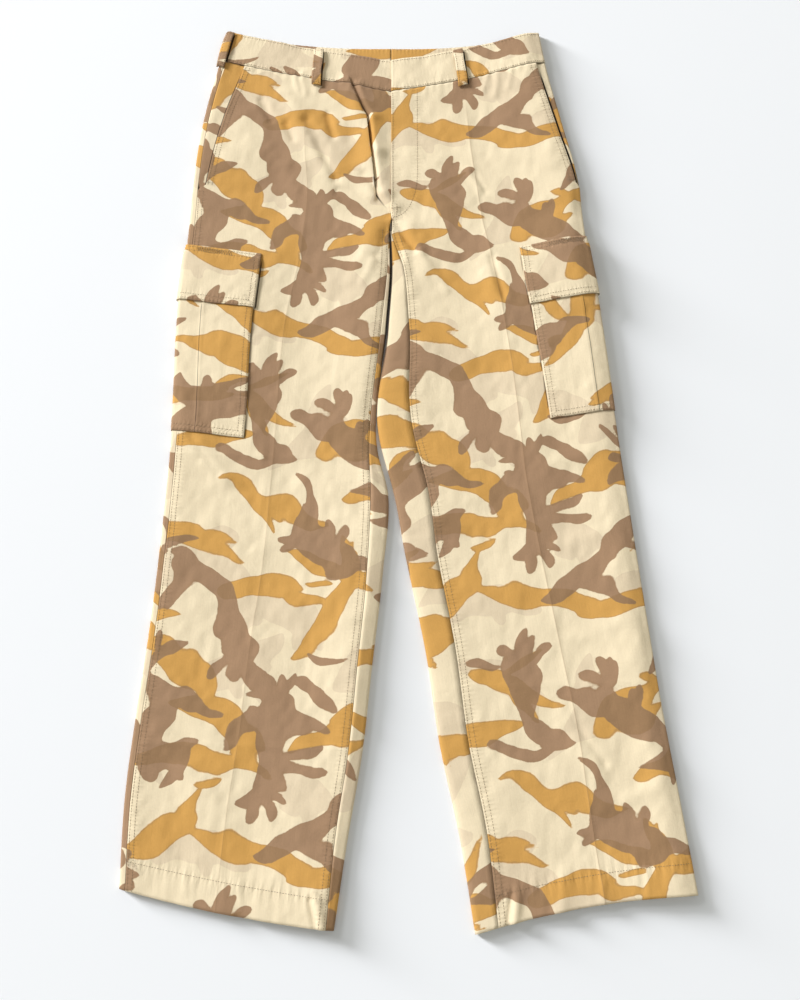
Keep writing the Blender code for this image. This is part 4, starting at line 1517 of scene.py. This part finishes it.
def threadMaterial():
    material, tree, shader = newMaterial("sewingThread", threadFinish["roughness"])
    where = tree.nodes.new("ShaderNodeTexCoord")
    plies = noiseNode(tree, where.outputs["Object"], 900)
    dark = tuple(c * threadFinish["dark"] for c in threadFinish["colour"])
    tree.links.new(mixColour(tree, plies, dark, threadFinish["colour"]), shader.inputs["Base Color"])
    return material


sewingThread = threadMaterial()

stitching = {
    "pitch": 3.2 * mm,
    "length": 2.5 * mm,
    "uneven": (0.88, 1.08),
    "thread": 0.62 * mm,
    "proud": 0.12 * mm,
    "tackPitch": 0.9 * mm,
    "puckerReach": 3.6 * mm,
    "puckerStep": 1.2 * mm,
    "rowStep": 3 * mm,
    "legStep": 4 * mm,
    "tack": 12,  # points
    "mouthRows": (2.5 * mm, 8 * mm),
    "sideRows": (2.2 * mm, 7.6 * mm),
    "inseamRows": (2.4 * mm, 8.2 * mm),
    "flyRow": 2.2 * mm,
    "seatRow": 7.5 * mm,
    "bandRows": (2.6 * mm, 2.8 * mm),
    "cargoRows": (2.6 * mm, 8.4 * mm),
}


def stitchTree():
    # one elongated bead on each point of an evenly divided path, laid along it and facing out
    tree = bpy.data.node_groups.new("stitchRow", "GeometryNodeTree")
    newSocket(tree, "Path", "INPUT", "NodeSocketGeometry")
    newSocket(tree, "Pitch", "INPUT", "NodeSocketFloat", stitching["pitch"])
    newSocket(tree, "Length", "INPUT", "NodeSocketFloat", stitching["length"])
    newSocket(tree, "Thread", "INPUT", "NodeSocketFloat", stitching["thread"])
    newSocket(tree, "Thread Material", "INPUT", "NodeSocketMaterial")
    newSocket(tree, "Stitches", "OUTPUT", "NodeSocketGeometry")
    nodes, links = tree.nodes, tree.links
    into, out = nodes.new("NodeGroupInput"), nodes.new("NodeGroupOutput")
    path = nodes.new("GeometryNodeMeshToCurve")
    links.new(into.outputs["Path"], path.inputs[0])
    divided = nodes.new("GeometryNodeResampleCurve")
    divided.mode = "LENGTH"
    links.new(path.outputs[0], divided.inputs["Curve"])
    links.new(into.outputs["Pitch"], divided.inputs["Length"])
    bead = nodes.new("GeometryNodeMeshUVSphere")
    bead.inputs["Segments"].default_value = 5
    bead.inputs["Rings"].default_value = 4
    bead.inputs["Radius"].default_value = 0.5
    size = nodes.new("ShaderNodeCombineXYZ")
    links.new(into.outputs["Length"], size.inputs[0])
    links.new(into.outputs["Thread"], size.inputs[1])
    links.new(into.outputs["Thread"], size.inputs[2])
    outward = nodes.new("GeometryNodeInputNamedAttribute")
    outward.data_type = "FLOAT_VECTOR"
    outward.inputs["Name"].default_value = "outward"
    tangent = nodes.new("GeometryNodeInputTangent")
    along = nodes.new("FunctionNodeAlignRotationToVector")
    along.axis = "X"
    links.new(tangent.outputs[0], along.inputs["Vector"])
    facing = nodes.new("FunctionNodeAlignRotationToVector")
    facing.axis = "Z"
    facing.pivot_axis = "X"
    links.new(along.outputs[0], facing.inputs["Rotation"])
    links.new(outward.outputs["Attribute"], facing.inputs["Vector"])
    uneven = nodes.new("FunctionNodeRandomValue")
    uneven.data_type = "FLOAT"
    uneven.inputs[2].default_value, uneven.inputs[3].default_value = stitching["uneven"]
    uneven.inputs["Seed"].default_value = 5
    scale = nodes.new("ShaderNodeVectorMath")
    scale.operation = "SCALE"
    links.new(size.outputs[0], scale.inputs[0])
    links.new(uneven.outputs[1], scale.inputs["Scale"])
    placed = nodes.new("GeometryNodeInstanceOnPoints")
    links.new(divided.outputs[0], placed.inputs["Points"])
    links.new(bead.outputs["Mesh"], placed.inputs["Instance"])
    links.new(facing.outputs[0], placed.inputs["Rotation"])
    links.new(scale.outputs[0], placed.inputs["Scale"])
    real = nodes.new("GeometryNodeRealizeInstances")
    links.new(placed.outputs[0], real.inputs[0])
    finish = nodes.new("GeometryNodeSetMaterial")
    links.new(real.outputs[0], finish.inputs["Geometry"])
    links.new(into.outputs["Thread Material"], finish.inputs["Material"])
    links.new(finish.outputs[0], out.inputs[0])
    return tree


stitchRow = stitchTree()


def sewPaths(name, paths, pitch, length):
    points, outwards, edges = [], [], []
    for _, spots, ways in paths:
        first = len(points)
        points += spots.tolist()
        outwards += ways.tolist()
        edges += [(first + k, first + k + 1) for k in range(len(spots) - 1)]
    mesh = bpy.data.meshes.new(name + "_path")
    mesh.from_pydata(points, edges, [])
    mesh.attributes.new("outward", "FLOAT_VECTOR", "POINT").data.foreach_set("vector", np.ravel(outwards))
    sewn = placeObject(name + "_path", mesh)
    row = sewn.modifiers.new("stitches", "NODES")
    row.node_group = stitchRow
    values = {"Pitch": pitch, "Length": length}
    values |= {"Thread": stitching["thread"], "Thread Material": sewingThread}
    for item in stitchRow.interface.items_tree:
        if item.name in values:
            row[item.identifier] = values[item.name]
    graph = bpy.context.evaluated_depsgraph_get()
    made = bpy.data.meshes.new_from_object(sewn.evaluated_get(graph))
    made.shade_smooth()
    bpy.data.objects.remove(sewn, do_unlink=True)
    print(name, len(made.polygons), "faces")
    return placeObject(name, made)


def rowOn(node, half, down, s, layer):
    # a row on the named piece; under the garment it is pressed in, flush with what it rests on
    down, s = np.broadcast_arrays(np.asarray(down, float), np.asarray(s, float))
    pressed = -0.56 * stitching["thread"]
    out = pressed + (stitching["proud"] - pressed) * smoothStep((s - 1 * mm) / (3 * mm))
    return (node, *layeredPoint(half, down, s, layer=layer(half, down, s) + out))


def bare(half, down, s):
    return np.zeros(np.broadcast(down, s).shape)


def legRows(half):
    paths, front = [], f"front_{half}"
    top, hem = laidTube["seamGap"] + 1 * mm, laidTube["hem"] - 2 * mm
    mouthDown = steps(laidTube["mouthTop"], laidTube["mouthEnd"] - 2 * mm, stitching["rowStep"])
    for inset in stitching["mouthRows"]:
        paths.append(rowOn(front, half, mouthDown, mouthEdge(half, mouthDown) + inset, frontLayer))
    seamDown = steps(laidTube["mouthEnd"] + 10 * mm, hem, stitching["legStep"])
    for inset in stitching["sideRows"]:
        if half == "right":
            paths.append(rowOn(front, half, seamDown, laidTube["sideSeam"][half] + inset, frontLayer))
        else:
            paths.append(rowOn(f"back_{half}", half, seamDown, -7 * mm - inset, bare))
    legDown = steps(laidTube["crotch"] + 4 * mm, hem, stitching["legStep"])
    inner = rowWidth(half, legDown) + bend - tableValue(half, "inseam", legDown) * mm
    for inset in stitching["inseamRows"]:
        paths.append(rowOn(front, half, legDown, inner - inset, frontLayer))
    low = laidTube["hemFold"]
    start, end = frontEdges(half, low)
    paths.append(rowOn(front, half, low, np.linspace(start + 1 * mm, end - 1 * mm, 90), frontLayer))
    under = rowWidth(half, low, below=True)
    paths.append(rowOn(f"back_{half}", half, low, -np.linspace(8 * mm, under - 8 * mm, 90), bare))
    return paths


def flyRows():
    # the curved fly row, the row along the fly's edge and the seat seam's second row below it
    inset, edgeInset, turn = flySizes["curveInset"], flySizes["edgeInset"], flySizes["turnStart"]
    straight = steps(edgeInset, turn, stitching["rowStep"])
    curve = np.linspace(0, math.pi / 2, 26)[1:]
    down = np.concatenate([straight, turn + (flySizes["turnEnd"] - turn) * np.sin(curve)])
    curved = edgeInset + (inset - edgeInset) * np.cos(curve) ** 0.8
    edge = steps(edgeInset, laidTube["crotch"] - edgeInset, stitching["rowStep"])
    rows = (
        (down, np.concatenate([np.full(len(straight), inset), curved])),
        (edge, stitching["flyRow"]),
        (edge[edge > laidTube["flyEnd"]], stitching["seatRow"]),
    )
    paths = []
    for down, away in rows:
        paths.append(rowOn("front_left", "left", down, rowWidth("left", down) + bend - away, frontLayer))
    return paths


def bandRows(half):
    paths = []
    upper, lower = stitching["bandRows"]
    for down in (laidTube["bandTop"] + upper, -lower):
        front, back = float(rowWidth(half, down)), float(rowWidth(half, down, below=True))
        above = np.concatenate([np.linspace(front - 1 * mm, 6 * mm, 70), np.linspace(5, -1.6, 12) * mm])
        under = np.linspace(-7 * mm, -back + 2 * mm, 40)
        for s in (above, under):
            paths.append(rowOn(f"waistband_{half}", half, down, s, bandLayer))
    return paths


def cargoRows(half):
    paths, flap, pocket = [], f"cargo_flap_{half}", f"cargo_pocket_{half}"
    seam = laidTube["sideSeam"][half]
    for inset in stitching["cargoRows"]:
        tall = steps(laidTube["flapTop"] + inset, laidTube["flapBottom"] - inset, stitching["rowStep"])
        for side in (-1, 1):
            paths.append(rowOn(flap, half, tall, seam + side * (cargoHalfWidth(tall) - inset), flapLayer))
        reach = cargoSizes["halfWidth"] - inset
        for down in (laidTube["flapTop"] + inset, laidTube["flapBottom"] - inset):
            paths.append(rowOn(flap, half, down, seam + np.linspace(-reach, reach, 70), flapLayer))
        low = laidTube["pocketBottom"] - inset
        tall = steps(laidTube["flapBottom"] + 3 * mm, low, stitching["rowStep"])
        for side in (-1, 1):
            edge = cargoHalfWidth(tall) - cargoSizes["overhang"] - inset
            paths.append(rowOn(pocket, half, tall, seam + side * edge, pocketLayer))
        reach = float(cargoHalfWidth(low)) - cargoSizes["overhang"] - inset
        paths.append(rowOn(pocket, half, low, seam + np.linspace(-reach, reach, 70), pocketLayer))
    return paths


def loopRows():
    paths = []
    for name in beltLoop["places"]:
        for side in (-0.32, 0.32):
            half, down, s, layer = loopSpot(name, np.linspace(0.03, 0.97, 30), side)
            paths.append((name, *layeredPoint(half, down, s, layer=layer + stitching["proud"])))
    return paths


def tackPaths():
    # short dense rows where a seam takes strain
    paths, count = [], stitching["tack"]
    mouthEnds = ((laidTube["mouthTop"] + 3 * mm, 5 * mm), (laidTube["mouthEnd"] - 4 * mm, 4 * mm))
    for half in stations:
        for down, inset in mouthEnds:
            s = mouthEdge(half, down) + inset + np.linspace(-5, 5, count) * mm
            paths.append(rowOn(f"front_{half}", half, down, s, frontLayer))
        start = max(laidTube["sideSeam"][half], 0) + 8 * mm
        s = start + np.linspace(0, 44, 30) * mm
        down = laidTube["flapTop"] + 5.5 * mm + 2.6 * mm * np.where(np.arange(30) % 2, 1, -1)
        paths.append(rowOn(f"cargo_flap_{half}", half, down, s, flapLayer))
    for name in beltLoop["places"]:
        for share in (0.05, 0.95):
            half, down, s, layer = loopSpot(name, share, np.linspace(-0.42, 0.42, count))
            paths.append((name, *layeredPoint(half, down, s, layer=layer + stitching["proud"])))
    down = laidTube["flyEnd"] + 6 * mm
    s = rowWidth("left", down) + bend - np.linspace(3, 12, count) * mm
    paths.append(rowOn("front_left", "left", down, s, frontLayer))
    return paths


def markSewn(paths):
    # stores on each piece how near its own rows are and how far along them, for the puckers
    byNode = {}
    for node, spots, _ in paths:
        byNode.setdefault(node, []).append(spots)
    for node, cloth in cloths.items():
        mesh = cloth.data
        near, run = np.zeros(len(mesh.vertices)), np.zeros(len(mesh.vertices))
        rows = byNode.get(node, [])
        if rows:
            fine, runs = [], []
            for spots in rows:
                length = np.concatenate([[0], np.cumsum(np.linalg.norm(np.diff(spots, axis=0), axis=1))])
                even = np.linspace(0, length[-1], max(2, int(length[-1] / stitching["puckerStep"])))
                fine.append(np.stack([np.interp(even, length, spots[:, k]) for k in range(3)], axis=1))
                runs.append(even)
            fine, runs = np.concatenate(fine), np.concatenate(runs)
            tree = KDTree(len(fine))
            for k, spot in enumerate(fine):
                tree.insert(spot, k)
            tree.balance()
            for k, vertex in enumerate(mesh.vertices):
                _, found, away = tree.find(vertex.co)
                near[k], run[k] = math.exp(-away / stitching["puckerReach"]), runs[found]
        store(mesh, "sewnNear", near)
        store(mesh, "sewnRun", run)


sewing = {}
for half in stations:
    sewing[f"leg_stitching_{half}"] = legRows(half) + bandRows(half)
    sewing[f"cargo_stitching_{half}"] = cargoRows(half)
sewing["fly_stitching"] = flyRows() + loopRows()
threads = {}
for name, paths in sewing.items():
    threads[name] = sewPaths(name, paths, stitching["pitch"], stitching["length"])
tacks = tackPaths()
threads["bar_tacks"] = sewPaths("bar_tacks", tacks, stitching["tackPitch"], stitching["thread"] * 1.1)
markSewn([path for paths in (*sewing.values(), tacks) for path in paths])
print("stitching sewn")


# Lamps: place and size in metres, power in watts. The low one draws the long shadows.
studio = {
    "floor": (0.892, 0.904, 0.937),
    "floorDim": 0.985,
    "floorHalf": 6.0,
    "worldColour": (1.0, 1.0, 0.91),
    "worldStrength": 0.39,
    "key": {"at": (-14.7, 8.2, 7.5), "size": 4.9, "power": 1280.0, "colour": (0.97, 0.98, 1.0)},
    "lowKey": {"at": (-15.9, 8.9, 3.2), "size": 4.8, "power": 9500.0, "colour": (0.97, 0.98, 1.0)},
    "clothKey": {"at": (-13.3, 7.4, 10.3), "size": 5.0, "power": 2850.0, "colour": (0.97, 0.98, 1.0)},
    "fill": {"at": (1.8, -1.0, 2.4), "size": 2.6, "power": 4.0, "colour": (0.93, 0.97, 1.0)},
}


def makeFloor():
    mesh, half = bpy.data.meshes.new("floor"), studio["floorHalf"]
    corners = [(-half, -half, 0), (half, -half, 0), (half, half, 0), (-half, half, 0)]
    mesh.from_pydata(corners, [], [(0, 1, 2, 3)])
    floor = placeObject("floor", mesh)
    material, tree, shader = newMaterial("paleFloor", 0.9)
    where = tree.nodes.new("ShaderNodeTexCoord")
    cloud = noiseNode(tree, where.outputs["Object"], 1.5)
    dim = tuple(c * studio["floorDim"] for c in studio["floor"])
    tree.links.new(mixColour(tree, cloud, dim, studio["floor"]), shader.inputs["Base Color"])
    mesh.materials.append(material)
    return floor


def makeLight(name):
    facts = studio[name]
    lamp = bpy.data.lights.new(name, "AREA")
    lamp.shape = "DISK"
    lamp.size = facts["size"]
    lamp.energy = facts["power"]
    lamp.color = facts["colour"]
    light = placeObject(name, lamp)
    light.location = facts["at"]
    # turned to face the garment's middle
    x, y, z = facts["at"]
    light.rotation_euler = (math.atan2(math.hypot(x, y), z), 0, math.atan2(y, x) + math.pi / 2)
    return light


def fallsOn(light, things):
    # a lamp that lights these things alone, though everything still casts its shadow
    reached = bpy.data.collections.new(f"{light.name} falls on")
    for thing in things:
        reached.objects.link(thing)
    light.light_linking.receiver_collection = reached


def makeWorld():
    world = bpy.data.worlds.new("studio")
    world.use_nodes = True
    ground = world.node_tree.nodes["Background"]
    ground.inputs["Color"].default_value = (*studio["worldColour"], 1)
    ground.inputs["Strength"].default_value = studio["worldStrength"]
    bpy.context.scene.world = world


floor = makeFloor()
makeLight("key")
fallsOn(makeLight("lowKey"), [floor])
fallsOn(makeLight("clothKey"), [*cloths.values(), *threads.values()])
makeLight("fill")
makeWorld()
bpy.context.scene.view_settings.view_transform = "Standard"
print("studio lit")


for node, cloth in cloths.items():
    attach(cloth, "root")
    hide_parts(node)
    if node.startswith("belt_loop"):
        continue
    half = node.rsplit("_", 1)[1]
for thread in threads.values():
    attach(thread, "root")

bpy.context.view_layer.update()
